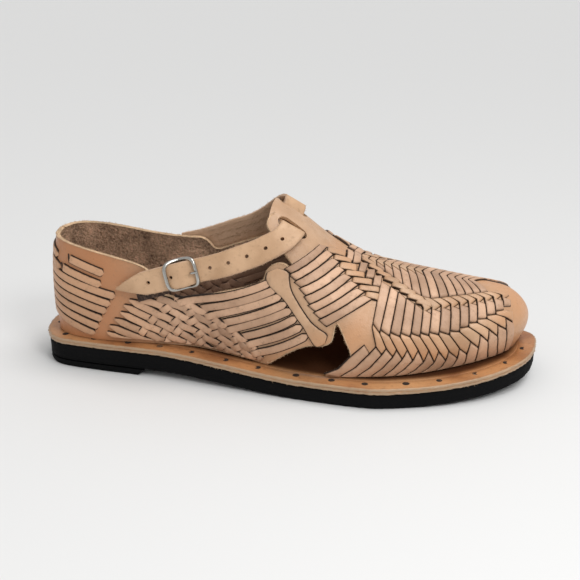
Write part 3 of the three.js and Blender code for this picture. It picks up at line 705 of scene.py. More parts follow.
def wall():
    """The leather wall that the strips are laced into: outer skin, inner skin and the foot's edge."""
    per = 10
    steps = (len(LAST) - 1) * per
    places = np.interp(np.arange(steps + 1) / per, np.arange(len(LAST)), [row[0] for row in LAST])
    half = 44
    angle = np.linspace(0, 1, half + 1) ** 1.15 * HALF_TURN / 2
    angles = np.concatenate([angle, HALF_TURN - angle[:-1][::-1]])
    at, phi = np.meshgrid(places, angles, indexing="ij")
    outer = skin(at, phi)
    bm = bmesh.new()
    grid = [[bm.verts.new(outer[i, j]) for j in range(len(angles))] for i in range(len(places))]
    for i in range(len(places) - 1):
        for j in range(len(angles) - 1):
            bm.faces.new((grid[i][j], grid[i + 1][j], grid[i + 1][j + 1], grid[i][j + 1]))
    bmesh.ops.remove_doubles(bm, verts=bm.verts, dist=0.02)
    bmesh.ops.dissolve_degenerate(bm, dist=0.01, edges=bm.edges)
    bmesh.ops.recalc_face_normals(bm, faces=bm.faces)
    bm.normal_update()
    bm.verts.ensure_lookup_table()
    top = max(bm.faces, key=lambda f: f.calc_center_median().z)
    if top.normal.z <= 0:
        bmesh.ops.reverse_faces(bm, faces=bm.faces)
        bm.normal_update()
    verts = list(bm.verts)
    faces = list(bm.faces)
    rim = {v for e in bm.edges if e.is_boundary for v in e.verts}
    rim_edges = [e for e in bm.edges if e.is_boundary]
    normals = {}
    for v in verts:
        n = v.normal.copy()
        if v in rim:
            n.z = 0
        normals[v] = n.normalized()
    inner = {v: bm.verts.new(v.co + normals[v] * INNER_LIFT) for v in verts}
    for v in verts:
        v.co += normals[v] * OUTER_LIFT
    for f in faces:
        bm.faces.new([inner[v] for v in reversed(f.verts)]).material_index = 1
    for e in rim_edges:
        a, b = e.verts
        bm.faces.new((a, b, inner[b], inner[a])).material_index = 1
    bmesh.ops.recalc_face_normals(bm, faces=bm.faces)
    for v in bm.verts:
        v.co = metres(v.co)
    obj = object_of(bm, "upper_wall")
    for material in (SMOOTH_LEATHER, SUEDE, RAW_EDGE):
        obj.data.materials.append(material)
    cutters = []
    for line, low, high in ((TOP_LATERAL, -90, 0.02), (TOP_MEDIAL, -0.02, 90)):
        edge = top_edge(line)
        outline = np.vstack([[(-20, 150)], [(-20, line[0][1])], edge[:-6], [(TAB_EAR[0] - TAB_EAR[2], 150)]])
        cutters.append(prism("above", outline, low, high))
    cutters.append(prism("side", spline(CUT_OUT, 6), -90, -8))
    cutters.append(prism("side", spline(CUT_OUT, 6), 8, 90))
    for place in TAB_SLOTS:
        cutters.append(slot_cutter(*place))
    for cutter in cutters:
        for _ in range(3):
            cutter.data.materials.append(RAW_EDGE)
        for polygon in cutter.data.polygons:
            polygon.material_index = 2
    cut(obj, cutters)
    obj.data.shade_smooth()
    obj.data.set_sharp_from_angle(angle=math.radians(40))
    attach(obj, "root")
    return obj


upper_wall = wall()
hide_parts("upper")


# Rounded raw edge along the openings.
def bead(batch, at, phi, width=2.6, high=0.9, middle=-1.3):
    """Rounded edge along a line on the skin, wrapped round the wall's thickness."""
    path, run = resample(np.stack([at, phi], 1), 1.0, smooth_it=False)
    place, _, _, normal = skin_frame(path[:, 0], path[:, 1])
    across = np.cross(normal, unit(np.gradient(place, axis=0), 1e-9))
    angle = np.linspace(0, 2 * np.pi, 11)[:-1]
    fuzz = np.array([[rng.uniform(-0.12, 0.12) for _ in angle] for _ in run])
    out = (np.cos(angle)[None] * width / 2 + fuzz)[..., None]
    side = (np.sin(angle)[None] * high / 2 + fuzz)[..., None]
    rings = place[:, None] + normal[:, None] * (middle + out) + across[:, None] * side
    batch.rings(rings, 0.0)


edges = Batch()
for line, medial in ((TOP_LATERAL, False), (TOP_MEDIAL, True)):
    opening = spline(CUT_OUT, 6)
    for outline in (top_edge(line), opening[opening[:, 1] > 12.5]):
        bead(edges, *locate(outline[:, 0], outline[:, 1], medial))
upper_edges = edges.build("upper_edges", RAW_EDGE)

# ---------------------------------------------------------------- strips of the upper
strips, slit_shades, inside, bands, shade_beds = (Batch() for _ in range(5))


def heights(rows):
    """Rows of (at, z) on the lateral side as (at, phi)."""
    rows = np.asarray(rows, float)
    return [(a, float(p)) for a, p in zip(rows[:, 0], phi_at_height(rows[:, 0], rows[:, 1]))]


# Vamp, upper row: borders between the strips at their tops on the stair line and their feet on the zigzag line.
UPPER_TOPS = [(207.5, 1.173), (212.8, 1.111), (217, 1.046), (221, 0.958), (225.5, 0.893), (229.5, 0.815),
              (234.2, 0.83), (239.5, 0.862), (244.8, 0.885), (249.8, 0.912), (254.8, 0.945), (259.8, 0.98),
              (264.5, 1.006), (270, 1.015), (276, 1.02), (281.5, 0.98)]
UPPER_FEET = [(201.8, 0.547), (205.8, 0.486), (211, 0.458), (216.5, 0.451), (221.8, 0.444), (226.8, 0.442),
              (231.4, 0.447), (236.5, 0.444), (242, 0.43), (247.2, 0.455), (252, 0.512), (256.5, 0.56),
              (261.8, 0.6), (266.8, 0.648), (272, 0.70), (277.2, 0.735)]
# Vamp, lower row: pointed heads, then borders at three levels down to the feather line.
LOWER_HEADS = [(198, 0.35), (204, 0.337), (209.4, 0.322), (214.8, 0.304), (220.4, 0.293), (226, 0.278),
               (231.4, 0.262), (236.6, 0.236), (241.8, 0.215), (247.2, 0.225), (252.8, 0.293), (257.5, 0.372),
               (262, 0.429), (266.5, 0.473), (271.2, 0.56)]
LOWER_HIGH = [(190.5, 0.214), (200.8, 0.262), (207.2, 0.25), (213, 0.222), (218, 0.188), (223.5, 0.158),
              (229.2, 0.125), (234.8, 0.1), (240.8, 0.095), (246.8, 0.095), (251.5, 0.122), (257, 0.178),
              (261.5, 0.241), (266.2, 0.285), (270.6, 0.359), (275, 0.43)]
LOWER_MID = [(184, 0.083), (193.2, 0.105), (201, 0.105), (207.5, 0.094), (213.2, 0.079), (218.8, 0.06),
             (225, 0.045), (231.5, 0.037), (238.8, 0.03), (245.5, 0.028), (251.5, 0.035), (257, 0.056),
             (262.5, 0.083), (267.2, 0.105), (271.4, 0.14), (275.6, 0.19)]
LOWER_FEET = [(176, 0.02)] + [(at, 0.004) for at in (
    184.5, 193.5, 201.2, 207.8, 213.8, 220.2, 227.2, 235.2, 243.5, 250.5, 256.8, 263.8, 269, 273, 277)]


def between(a, b, t=0.5):
    return tuple(np.asarray(a, float) * (1 - t) + np.asarray(b, float) * t)


def lay(batch, left, right, tone, **options):
    """The same field on the lateral and on the medial side."""
    for medial in (False, True):
        patch(batch, mirrored(left, medial), mirrored(right, medial), tone + rng.uniform(-0.25, 0.25), **options)


for k in range(15):
    drop = 0.4 if k < 5 else 3.2
    head = towards(UPPER_TOPS[k + 1], UPPER_FEET[k + 1], drop)
    foot = towards(UPPER_FEET[k], UPPER_TOPS[k], 2.2)
    lay(strips, [UPPER_TOPS[k], between(UPPER_TOPS[k], foot), foot],
        [head, between(head, UPPER_FEET[k + 1]), UPPER_FEET[k + 1]], rng.uniform(-1, 1), dip=(1.4, 1.2), step=1.5)
for k in range(15):
    lay(strips, [LOWER_HEADS[k], LOWER_HIGH[k], LOWER_MID[k], LOWER_FEET[k]],
        [LOWER_HIGH[k + 1], LOWER_MID[k + 1], LOWER_FEET[k + 1]], rng.uniform(-1, 1), dip=(1.4, 1.6), step=1.2)

# Zigzag band between the two rows: each tongue runs from the foot of an upper strip to a lower strip's flank.
heads = LOWER_HEADS + [(276.5, 0.63), (281, 0.68)]
shoulders = LOWER_HIGH + [(279.5, 0.5)]
for k in range(14):
    raised = towards(UPPER_FEET[k], UPPER_TOPS[k], 2.0)
    lay(bands, [raised, UPPER_FEET[k], heads[k + 1], shoulders[k + 2]],
        [UPPER_FEET[k + 1], between(UPPER_FEET[k + 1], heads[k + 2]), heads[k + 2]], rng.uniform(-0.3, 0.6),
        top=1.0, bulge=0.55, dip=(1.6, 1.6), depth=0.8, step=1.1, gap=0.4)

# Diagonal strips from the spine up to the middle of the instep: borders from foot to head.
DIAGONALS = [
    [(152.0, 0.74), (156.3, 0.811), (160.3, 0.896), (164.1, 0.997), (167.8, 1.12), (171.3, 1.273)],
    [(155.0, 0.713), (159.9, 0.793), (164.4, 0.891), (168.5, 1.008), (172.4, 1.15), (175.9, 1.333)],
    [(158.0, 0.678), (162.8, 0.762), (167.3, 0.859), (171.6, 0.971), (175.7, 1.102), (179.6, 1.259)],
    [(161.0, 0.652), (166.1, 0.732), (170.9, 0.825), (175.3, 0.93), (179.5, 1.049), (183.5, 1.196)],
    [(163.8, 0.608), (169.0, 0.688), (173.8, 0.777), (178.4, 0.875), (182.6, 0.986), (186.7, 1.121)],
    [(166.2, 0.556), (171.7, 0.638), (176.8, 0.728), (181.7, 0.824), (186.3, 0.936), (190.8, 1.072)],
    [(169.5, 0.521), (174.8, 0.602), (180.0, 0.687), (184.9, 0.778), (189.7, 0.883), (194.6, 1.005)],
    [(172.5, 0.481), (177.9, 0.558), (183.2, 0.639), (188.3, 0.728), (193.3, 0.829), (198.3, 0.945)],
    [(176.2, 0.433), (181.5, 0.512), (186.7, 0.594), (191.9, 0.681), (197.2, 0.776), (202.5, 0.88)],
]
LEFT_HEADS = [(171.2, 1.272), (174.5, 1.199), (178.6, 1.14), (181.9, 1.074), (185.8, 1.019), (189.4, 0.969),
              (193.1, 0.912), (197.0, 0.853)]
for k in range(8):
    lay(strips, DIAGONALS[k][:-1] + [between(DIAGONALS[k][-1], LEFT_HEADS[k])],
        [towards(DIAGONALS[k + 1][0], DIAGONALS[k + 1][1], 1.2)] + DIAGONALS[k + 1][1:],
        rng.uniform(-1, 1), dip=(1.8, 1.4), step=1.4, gap=0.6)

# Bars that carry on from the diagonal strips: upper border, lower border.
BARS = [
    [(175.9, 1.333), (187.2, 1.456), (175.2, 1.216), (186.4, 1.319)],
    [(179.7, 1.259), (190.5, 1.354), (179.5, 1.167), (190.1, 1.268)],
    [(183.4, 1.195), (193.8, 1.302), (182.8, 1.094), (193.4, 1.167)],
    [(186.7, 1.121), (198.3, 1.223), (186.4, 1.04), (197.9, 1.126)],
    [(190.8, 1.071), (202.8, 1.152), (190.4, 0.988), (202.0, 1.048)],
    [(194.6, 1.005), (206.7, 1.06), (194.0, 0.928), (206.1, 0.971)],
    [(198.3, 0.945), (206.6, 0.965), (197.6, 0.868), (205.4, 0.865)],
]
for upper_left, upper_right, lower_left, lower_right in BARS:
    lay(bands, [upper_left, upper_right], [lower_left, lower_right], rng.uniform(-0.2, 0.6), top=1.15, bulge=0.25,
        dip=(1.2, 2.2), depth=0.9, step=1.1, gap=0.55)
# Cells of the strips over the ridge, where they come up between the bars: heads, then feet.
CELLS = [
    [(187.1, 1.535), (191.6, 1.52), (186.9, 1.306), (190.6, 1.309)],
    [(191.2, 1.565), (196.2, 1.565), (190.6, 1.282), (195.6, 1.36)],
    [(195.2, 1.368), (200.2, 1.419), (193.8, 1.184), (198.3, 1.21)],
    [(199.3, 1.289), (204.5, 1.339), (198.1, 1.134), (203.3, 1.168)],
    [(203.3, 1.207), (208.4, 1.261), (202.0, 1.048), (207.1, 1.063)],
]
for head_left, head_right, foot_left, foot_right in CELLS:
    lay(strips, [head_left, foot_left], [head_right, foot_right], rng.uniform(-1, 0.2), top=1.25, bulge=0.3,
        dip=(1.3, 1.3), depth=0.9, step=1.1)
# Second set of bars, above the heads of the first upper strips.
BAR_HEADS = [(196.4, 1.53), (200.4, 1.432), (205.0, 1.351), (209.2, 1.288), (213.6, 1.197), (217.7, 1.122),
             (221.7, 1.045), (226.2, 0.975)]
for k, (at, phi) in enumerate(BAR_HEADS):
    size = 0.085 if k < 3 else 0.1
    lay(bands, [(at, phi), (at + 9.4, phi - 0.055)], [(at - 0.4, phi - size), (at + 9.0, phi - 0.055 - size)],
        rng.uniform(-0.2, 0.6), top=1.15, bulge=0.3, dip=(1.2, 2.2), depth=0.9, step=1.1)

# Strips over the ridge: borders along the foot, cut on the slant at the ridge further back.
RIDGE = [196.0, 200.8, 205.5, 210.3, 215.1, 219.9, 224.7, 229.5, 234.4, 239.6, 244.9, 250, 255, 260, 264.8, 270]
LOW = ([190, 200, 205, 210.3, 214.9, 218.9, 222.9, 227.2, 232, 236, 240, 245, 250, 255, 260, 265, 270, 276, 282],
       [1.55, 1.5, 1.44, 1.37, 1.27, 1.18, 1.09, 1.02, 0.97, 0.975, 1.0, 1.03, 1.06, 1.09, 1.13, 1.155, 1.165, 1.17,
        1.14])
for a, b in zip(RIDGE[:-1], RIDGE[1:]):
    low_a, low_b = float(np.interp(a, *LOW)), float(np.interp(b, *LOW))
    tone = rng.uniform(-1, 1)
    if b < 236:
        lay(strips, [(a, 1.55), (a, min(low_a, 1.5))], [(b, 1.44), (b, low_b)], tone, dip=(1.2, 1.0), step=1.4)
        patch(bands, [(a, 1.555), (a, HALF_TURN - 1.555)], [(b, 1.45), (b, HALF_TURN - 1.45)], tone=0.3, top=0.9,
              dip=(0.8, 0.8), step=0.8)
    else:
        patch(strips, [(a, low_a), (a + 0.3, HALF_TURN / 2), (a, HALF_TURN - low_a)],
              [(b, low_b), (b + 0.3, HALF_TURN / 2), (b, HALF_TURN - low_b)], tone=tone, dip=(1.0, 1.0), step=1.5)
# Tongues along the stair line, from the foot of a ridge strip to the flank of the next upper strip.
feet = [(a, float(np.interp(a, *LOW))) for a, _ in UPPER_TOPS]
for k in range(4, 14):
    head = towards(UPPER_TOPS[k + 1], UPPER_FEET[k + 1], 3.2)
    lay(bands, [feet[k], UPPER_TOPS[k + 1], head], [feet[k + 1], UPPER_TOPS[min(k + 2, 15)]], rng.uniform(-0.2, 0.6),
        top=0.95, bulge=0.45, dip=(1.2, 1.4), depth=0.8, step=1.0, gap=0.4)

# Lateral and medial quarter: eight long strips from the plait up to the spine.
QUARTER = [
    [(93, 45.2), (115, 50.6), (133, 57.0), (145.5, 62.6)],
    [(105, 42.4), (118, 46.4), (134, 52.6), (149.0, 59.4)],
    [(103, 35.9), (118, 41.9), (135, 48.6), (152.2, 56.2)],
    [(117, 35.4), (128, 39.8), (142, 46.0), (155.2, 52.6)],
    [(115, 29.4), (130, 36.0), (145, 42.8), (158.2, 49.4)],
    [(127, 28.2), (138, 33.0), (150, 38.8), (161.2, 45.6)],
    [(125, 21.6), (140, 28.4), (153, 34.6), (164.2, 41.2)],
    [(136.5, 20.2), (146, 24.2), (157, 30.0), (167.4, 36.6)],
]
# The same strips where the plait carries them on, down and back to the feather line.
QUARTER_TAILS = [
    [(86, 41.5), (78, 34), (70, 23)],
    [(95, 37.2), (86, 29), (78, 19)],
    [(95, 31.3), (88, 24), (82, 17.6)],
    [(108, 30.4), (100, 23.6), (94, 17.2)],
    [(108, 25.4), (102, 19.8), (99, 17.0)],
    [(119, 23.4), (112, 17.4), (109, 15.9)],
    [(119, 18.6), (115, 16.0)],
    [(130, 17.0), (126, 14.8)],
]
FANS = [
    [(89, 46.6), (99, 43.4), (112, 36.8), (124, 29.6), (136, 21.6)],
    [(80, 47.4), (90, 44.0), (103, 37.4), (117, 30.2), (131, 22.0), (139.5, 16.2)],
    [(71, 45.8), (80, 43.4), (92, 37.6), (106, 30.4), (122, 22.6), (136, 15.4)],
    [(65.4, 45.2), (74, 40.6), (86, 34.8), (100, 27.8), (116, 20.0), (128, 14.6)],
    [(62.6, 41.8), (72, 36.4), (84, 30.2), (97, 23.4), (110, 16.2)],
    [(60.6, 37.2), (70, 32.0), (81, 26.6), (92, 20.6), (99, 17.0)],
    [(57.2, 32.8), (67, 27.8), (78, 22.8), (88, 17.4)],
    [(54.2, 28.2), (64, 23.6), (74, 19.6), (80, 17.6)],
    [(52.4, 24.0), (60, 20.2), (70, 17.9)],
]


def crossings(path, others):
    """Distances on the skin along a path of (at, z) points at which the other paths cross it."""
    found = []
    run = 0.0
    place = skin(path[:, 0], phi_at_height(path[:, 0], path[:, 1]))
    sizes = np.linalg.norm(np.diff(place, axis=0), axis=1)
    for p, q, size in zip(path[:-1], path[1:], sizes):
        d = q - p
        for n, other in enumerate(others):
            for a, b in zip(other[:-1], other[1:]):
                e = b - a
                det = d[0] * -e[1] + e[0] * d[1]
                if abs(det) < 1e-9:
                    continue
                w = a - p
                s = (w[0] * -e[1] + e[0] * w[1]) / det
                t = (d[0] * w[1] - d[1] * w[0]) / det
                if 0 <= s < 1 and 0 <= t < 1:
                    found.append((run + s * size, n))
        run += size
    return sorted(found)


quarter_paths = [spline(tail[::-1] + row, 6) for row, tail in zip(QUARTER, QUARTER_TAILS)]
fan_paths = [spline(row, 6) for row in FANS]


def over_under(path, others, parity, amplitude=0.8):
    """Heights along a path: over at one crossing, under at the next."""
    marks = crossings(path, others)
    if not marks:
        return lambda run: np.zeros_like(run)
    places = np.array([m[0] for m in marks])
    signs = np.array([1.0 if (n + parity) % 2 == 0 else -1.0 for _, n in marks])

    def waves(run):
        height = np.zeros_like(run)
        for p, s in zip(places, signs):
            height += s * np.exp(-(((run - p) / 2.3) ** 2))
        return amplitude * np.clip(height, -1.2, 1.2)

    return waves


def weave(paths, others, parity, width, dip, depth, tips, medial):
    """Strips that pass over and under the others, each with its back on the inner face."""
    for i, (path, tip) in enumerate(zip(paths, tips)):
        rows = mirrored(heights(path), medial)
        tone = rng.uniform(-1, 1)
        waves = over_under(path, others, i + parity)
        lay_strip(strips, rows, width, top=1.0, dip=dip, depth=depth, tips=tip, tone=tone, step=1.1, waves=waves)
        lay_strip(inside, rows, 4.7, top=-3.2, dip=dip, tone=tone, step=1.4, flip=-1.0, shade_bed=False, waves=waves)


QUARTER_TIPS = [(0.0, 3.2)] * len(quarter_paths)
FAN_TIPS = [(5.5 if j > 2 else 0.0, 0.0) for j in range(len(fan_paths))]
for medial in (False, True):
    weave(quarter_paths, fan_paths, 0, 4.25, (1.2, 2.4), 1.5, QUARTER_TIPS, medial)
    weave(fan_paths, quarter_paths, 1, 4.35, (0.6, 1.2), 1.2, FAN_TIPS, medial)

# Heel counter: strips round the heel on both sides, laced through slits beside the back line.
COUNTER = [
    [(3.5, 70.4), (14, 68.2), (21, 66.2)],
    [(3.5, 65.2), (14, 62.6), (24, 59.4)],
    [(31, 66.6), (42, 63.4), (53.5, 59.6)],
    [(25.5, 60.6), (38, 57.2), (52, 52.8)],
    [(2.5, 60.2), (20, 56.6), (40, 51.6), (59.2, 46.4)],
    [(2.5, 55.2), (20, 51.4), (38, 46.8), (56.4, 41.4)],
    [(2.5, 50.2), (20, 46.2), (37, 41.8), (54.2, 36.8)],
    [(2.5, 45.2), (19, 41.2), (35, 36.8), (51.4, 31.8)],
    [(2.5, 40.2), (18, 36.2), (33, 31.8), (49.0, 26.6)],
    [(2.5, 35.2), (17, 31.2), (31, 26.8), (46.4, 21.6)],
]
for medial in (False, True):
    for row in COUNTER:
        rows = mirrored(heights(spline(row, 4)), medial)
        lay_strip(strips, rows, 4.5, top=1.0, dip=(2.2, 1.6), tips=(0.0, 1.2), tone=rng.uniform(-0.6, 0.6))
        # Painted shade of the slit that the strip's end goes into.
        end = row[0]
        ticks = heights([(end[0] + 0.2, end[1] + 2.6), (end[0] + 1.2, end[1] - 2.8)])
        lay_slit_shade(slit_shades, mirrored(ticks, medial))

# Spine between the quarter and the vamp: a leaf with a round head and a broad foot.
SPINE = [(148.2, 69.5, 8.0), (148.6, 66.0, 13.0), (150.6, 62.0, 11.0), (154.4, 57.0, 6.4), (158.4, 52.0, 5.2),
         (162.6, 46.6, 5.0), (167.2, 41.4, 5.2), (171.0, 37.4, 7.4), (174.4, 34.4, 9.0), (176.6, 32.6, 7.0)]
for medial in (False, True):
    rows = mirrored([(a, float(phi_at_height(a, z)), w) for a, z, w in SPINE], medial)
    lay_strip(bands, rows, 5, top=1.5, dip=(1.2, 1.2), depth=0.8, tips=(1.6, 1.6), tone=0.2, step=1.0)

woven_strips = strips.build("woven_strips", STRIP_LEATHER)
smooth_bands = bands.build("smooth_bands", SMOOTH_LEATHER)
inner_strips = inside.build("inner_strips", INNER_STRIP)
# Dark lenses at the strip ends: painted shade of the slits.
slit_shade_lines = slit_shades.build("slit_shade_lines", SHADE_BLACK)
# Dark beds under the strips: painted shade in the gaps.
strip_shade_beds = shade_beds.build("strip_shade_beds", SHADE_BLACK)


# ---------------------------------------------------------------- soles
def closed_run(loop):
    closed = np.vstack([loop, loop[:1]])
    return closed, lengths(closed)


def evened(loop, rounds, step=None, count=None):
    """Closed loop at even steps, softened over a number of rounds."""
    closed, run = closed_run(loop)
    want = np.linspace(0, run[-1], count or int(run[-1] / step), endpoint=False)
    loop = columns_at(want, run, closed)
    for _ in range(rounds):
        loop = (np.roll(loop, 1, 0) + 2 * loop + np.roll(loop, -1, 0)) / 4
    return loop


def outline_points(inset=0.0, per=14):
    """Sole outline as a closed loop, heel first along the lateral side."""
    rows = sole_curve(np.linspace(0, len(SOLE) - 1, (len(SOLE) - 1) * per + 1))
    lateral = np.stack([rows[:, 0], -rows[:, 1]], 1)
    medial = np.stack([rows[:, 0], rows[:, 2]], 1)[::-1]
    loop = np.vstack([lateral, medial])
    keep = [loop[0]]
    for p in loop[1:]:
        if np.linalg.norm(p - keep[-1]) > 0.3:
            keep.append(p)
    if np.linalg.norm(keep[0] - keep[-1]) < 0.3:
        keep.pop()
    loop = np.array(keep)
    loop = evened(loop, 2, step=1.5)
    along = unit(np.roll(loop, -1, 0) - np.roll(loop, 1, 0))
    inward = np.stack([-along[:, 1], along[:, 0]], 1)
    return loop + inward * inset, inward


def slab(name, bottom, top, edge_rows, top_rows, material, inset=0.0, rough=0.0, seed=1):
    """Sole layer: a closed shell whose edge follows edge_rows (inset, share of height, extra z, edge value)."""
    source = random.Random(seed)
    loop, inward = outline_points(inset)
    middle_x = np.clip(loop[:, 0], 34, 252)
    centre = np.stack([middle_x, np.interp(middle_x, [34, 150, 252], [0, -3, 8])], 1)
    batch = Batch()
    rings, edge = [], []
    count = len(loop)
    for scale in (0.0, 0.5, 0.85):
        xy = centre + (loop - centre) * scale
        rings.append(np.column_stack([xy, bottom(xy[:, 0])]))
        edge.append(np.full(count, 1.0))
    wobble = np.array([source.uniform(-1, 1) for _ in range(count)])
    for depth, share, extra, value in edge_rows:
        jitter = np.array([source.uniform(-1, 1) for _ in range(count)]) * rough * 0.6 + wobble * rough * 0.4
        xy = loop + inward * (depth + jitter)[:, None]
        z = bottom(xy[:, 0]) * (1 - share) + top(xy[:, 0]) * share + extra
        rings.append(np.column_stack([xy, z]))
        edge.append(np.full(count, value))
    for depth, extra, value in top_rows:
        xy = loop + inward * depth
        rings.append(np.column_stack([xy, top(xy[:, 0]) + extra]))
        edge.append(np.full(count, value))
    last_xy = rings[-1][:, :2]
    for scale in (0.75, 0.4, 0.0):
        xy = centre + (last_xy - centre) * scale
        rings.append(np.column_stack([xy, top(xy[:, 0])]))
        edge.append(np.zeros(count))
    # Painted shade: the top inside the scored line darkens towards the middle, where the upper shades it.
    painted_inside_shade = np.zeros((len(rings), count))
    painted_inside_shade[-5:] = np.array([0.3, 0.8, 1.0, 1.0, 1.0])[:, None]
    batch.rings(np.array(rings), 0.3, np.array(edge), painted_inside_shade, closed_ends=False)
    return weld(batch.build(name, material, sharp=50))


EDGE = [(0.9, 0.0, 0.05, 1.0), (0.25, 0.06, 0, 1.0), (0.0, 0.3, 0, 1.0), (0.28, 0.5, 0, 0.55), (0.0, 0.68, 0, 1.0),
        (0.1, 0.9, 0, 1.0), (0.5, 1.0, -0.05, 0.75)]
leather_sole = slab("leather_sole_piece", lambda x: rubber_top(x) + 0.3, sole_top, EDGE,
                    [(1.2, 0.03, 0.25), (2.4, 0.0, 0.0), (6.0, 0, 0), (9.6, 0, 0), (9.9, -0.35, 0), (10.2, 0, 0),
                     (13.5, 0, 0)],
                    SOLE_LEATHER, rough=0.42)
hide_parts("leather_sole")
RUBBER_EDGE = [(0.8, 0.0, 0.1, 0), (0.2, 0.06, 0, 0), (0.0, 0.2, 0, 0), (0.12, 0.45, 0, 0), (-0.1, 0.6, 0, 0),
               (0.0, 0.85, 0, 0), (0.35, 0.98, 0, 0)]
outsole = slab("outsole_piece", underside, rubber_top, RUBBER_EDGE, [(2.0, 0, 0)], RUBBER, inset=0.8, rough=0.25,
               seed=2)
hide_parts("outsole")


def heel_lift():
    """Layer of tyre rubber under the heel with a slanted front."""
    loop = outline_points(0.8)[0]
    part = loop[loop[:, 0] < 70]
    order = np.argsort(np.arctan2(part[:, 1], part[:, 0] - 35))
    part = part[order]
    front = [(70, y) for y in np.linspace(part[-1][1], part[0][1], 14)[1:-1]]
    loop = np.vstack([part, front])
    centre = np.array([34.0, 0.0])
    batch = Batch()
    rings = []
    for scale, z, slant in ((0.0, 0.0, 5), (0.6, 0.0, 5), (0.965, 0.0, 5), (0.99, 0.25, 4.8), (1.0, 1.2, 3.6),
                            (0.997, 2.6, 1.6), (1.0, 3.6, 0.2), (0.6, 3.7, 0), (0.0, 3.7, 0)):
        xy = centre + (loop - centre) * scale
        near = np.clip((xy[:, 0] - 60) / 10, 0, 1)
        xy[:, 0] -= near * slant
        rings.append(np.column_stack([xy, np.full(len(xy), z)]))
    batch.rings(np.array(rings), closed_ends=False)
    return weld(batch.build("heel_lift_piece", RUBBER, sharp=40))


lift = heel_lift()
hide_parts("heel_lift")


# Nails of the sole, sunk in round holes along the ledge: the near-black discs are the dark iron heads together with
# painted shade in the holes; one in nine shows a nickel head.
NAIL_INSET, NAIL_PITCH = 6.4, 20.6


def nails():
    batch, heads = Batch(), Batch()
    closed, run = closed_run(outline_points(NAIL_INSET)[0])
    count = int(run[-1] / NAIL_PITCH)
    angle = np.linspace(0, 2 * np.pi, 15)[:-1]
    for i in range(count):
        s = (i + 0.35 + rng.uniform(-0.08, 0.08)) * run[-1] / count
        x, y = (np.interp(s, run, c) for c in closed.T)
        z = float(sole_top(x))
        radius = rng.uniform(1.35, 1.6)
        rings = []
        for r, up in ((0.02, 0.03), (0.6, 0.04), (0.95, 0.08), (1.12, 0.10), (1.3, 0.0), (1.3, -0.4), (0.02, -0.4)):
            rings.append([(x + radius * r * math.cos(a), y + radius * r * math.sin(a), z + up) for a in angle])
        (heads if i % 9 == 4 else batch).rings(rings, closed_ends=True)
    return batch.build("nail_holes", SHADE_BLACK), heads.build("nail_heads", NICKEL)


nail_holes, nail_heads = nails()

# ---------------------------------------------------------------- ankle strap
STRAP = [
    (1, 80, 22.4, 1.9, 16), (1, 90, 25, 1.9, 16), (1, 100, 28.6, 1.9, 16), (1, 112, 33.8, 1.9, 16.5),
    (1, 124, 39.9, 1.9, 17), (1, 136, 51.8, 1.9, 16), (1, 147, 70, 2.6, 14.5), (1, 153.5, 84, 3.1, 14.5),
    (-1, 155.5, 79, 2.1, 14.5), (-1, 155.5, 69.6, 2.1, 14.5), (-1, 151.8, 58.7, 2.1, 14.5),
    (-1, 140.5, 46.9, 1.9, 14.5), (-1, 125, 36.8, 1.9, 14.5), (-1, 111, 30.2, 3, 13.8), (-1, 104.5, 28, 4, 13.4),
    (-1, 96, 25.3, 7, 14.4), (-1, 87.5, 22.9, 5.9, 14), (-1, 78.5, 20.4, 4.9, 13.8), (-1, 69.5, 18.2, 4.1, 11.5),
    (-1, 60.5, 16, 2.4, 1.6),
]
UNDER_BRIDGE = -4.8
strap_rows = [(at, math.radians(deg) if side < 0 else HALF_TURN - math.radians(deg), lift_, width)
              for side, at, deg, lift_, width in STRAP]
strap_path, strap_run = resample(strap_rows, 1.1)


def strap_place(at, phi):
    """Distance along the strap nearest to a point of the skin."""
    gap = np.linalg.norm(skin(strap_path[:, 0], strap_path[:, 1]) - skin(at, phi), axis=1)
    return float(strap_run[int(np.argmin(gap))])


enter, leave = (strap_place(*slot_place) for slot_place in TAB_SLOTS)
strap_lift = strap_path[:, 2].copy()
under = smooth(strap_run, enter - 2.5, enter + 2.5) - smooth(strap_run, leave - 2.5, leave + 2.5)
strap_lift = strap_lift * (1 - under) + UNDER_BRIDGE * under
strap_width = strap_path[:, 3].copy()
to_tip = strap_run[-1] - strap_run
strap_width = np.where(to_tip < 18, 13.8 * np.clip(to_tip / 18, 0.02, 1) ** 0.78, strap_width)
# Strap section: across, height, edge value; the rounded shoulders take painted shade, the sides and back their own
# flesh colour.
STRAP_SECTION = np.array([
    (-0.93, -1.0, 0.9), (-1.0, -0.7, 1.0), (-1.0, 0.45, 1.0), (-0.985, 0.75, 0.8), (-0.94, 0.93, 0.3),
    (-0.8, 0.99, 0.0),
    (-0.4, 1.02, 0.0), (0.0, 1.05, 0.0), (0.4, 1.02, 0.0), (0.8, 0.99, 0.0), (0.94, 0.93, 0.3), (0.985, 0.75, 0.8),
    (1.0, 0.45, 1.0), (1.0, -0.7, 1.0), (0.93, -1.0, 0.9), (0.5, -1.0, 0.9), (0.0, -1.0, 0.9), (-0.5, -1.0, 0.9),
])


def strap_rings():
    place, _, _, normal = skin_frame(strap_path[:, 0], strap_path[:, 1])
    middle = place + normal * strap_lift[:, None]
    across = unit(np.cross(normal, np.gradient(place, axis=0)))
    out = unit(np.cross(np.gradient(middle, axis=0), across))
    u = STRAP_SECTION[:, 0][None, :] * strap_width[:, None] / 2
    fuzz = np.array([[rng.uniform(-0.09, 0.09) for _ in STRAP_SECTION] for _ in strap_run])
    u = u + fuzz * (STRAP_SECTION[:, 2][None, :] > 0.5)
    rings = middle[:, None] + across[:, None] * u[..., None] + out[:, None] * STRAP_SECTION[:, 1][None, :, None]
    return rings, middle, across, out


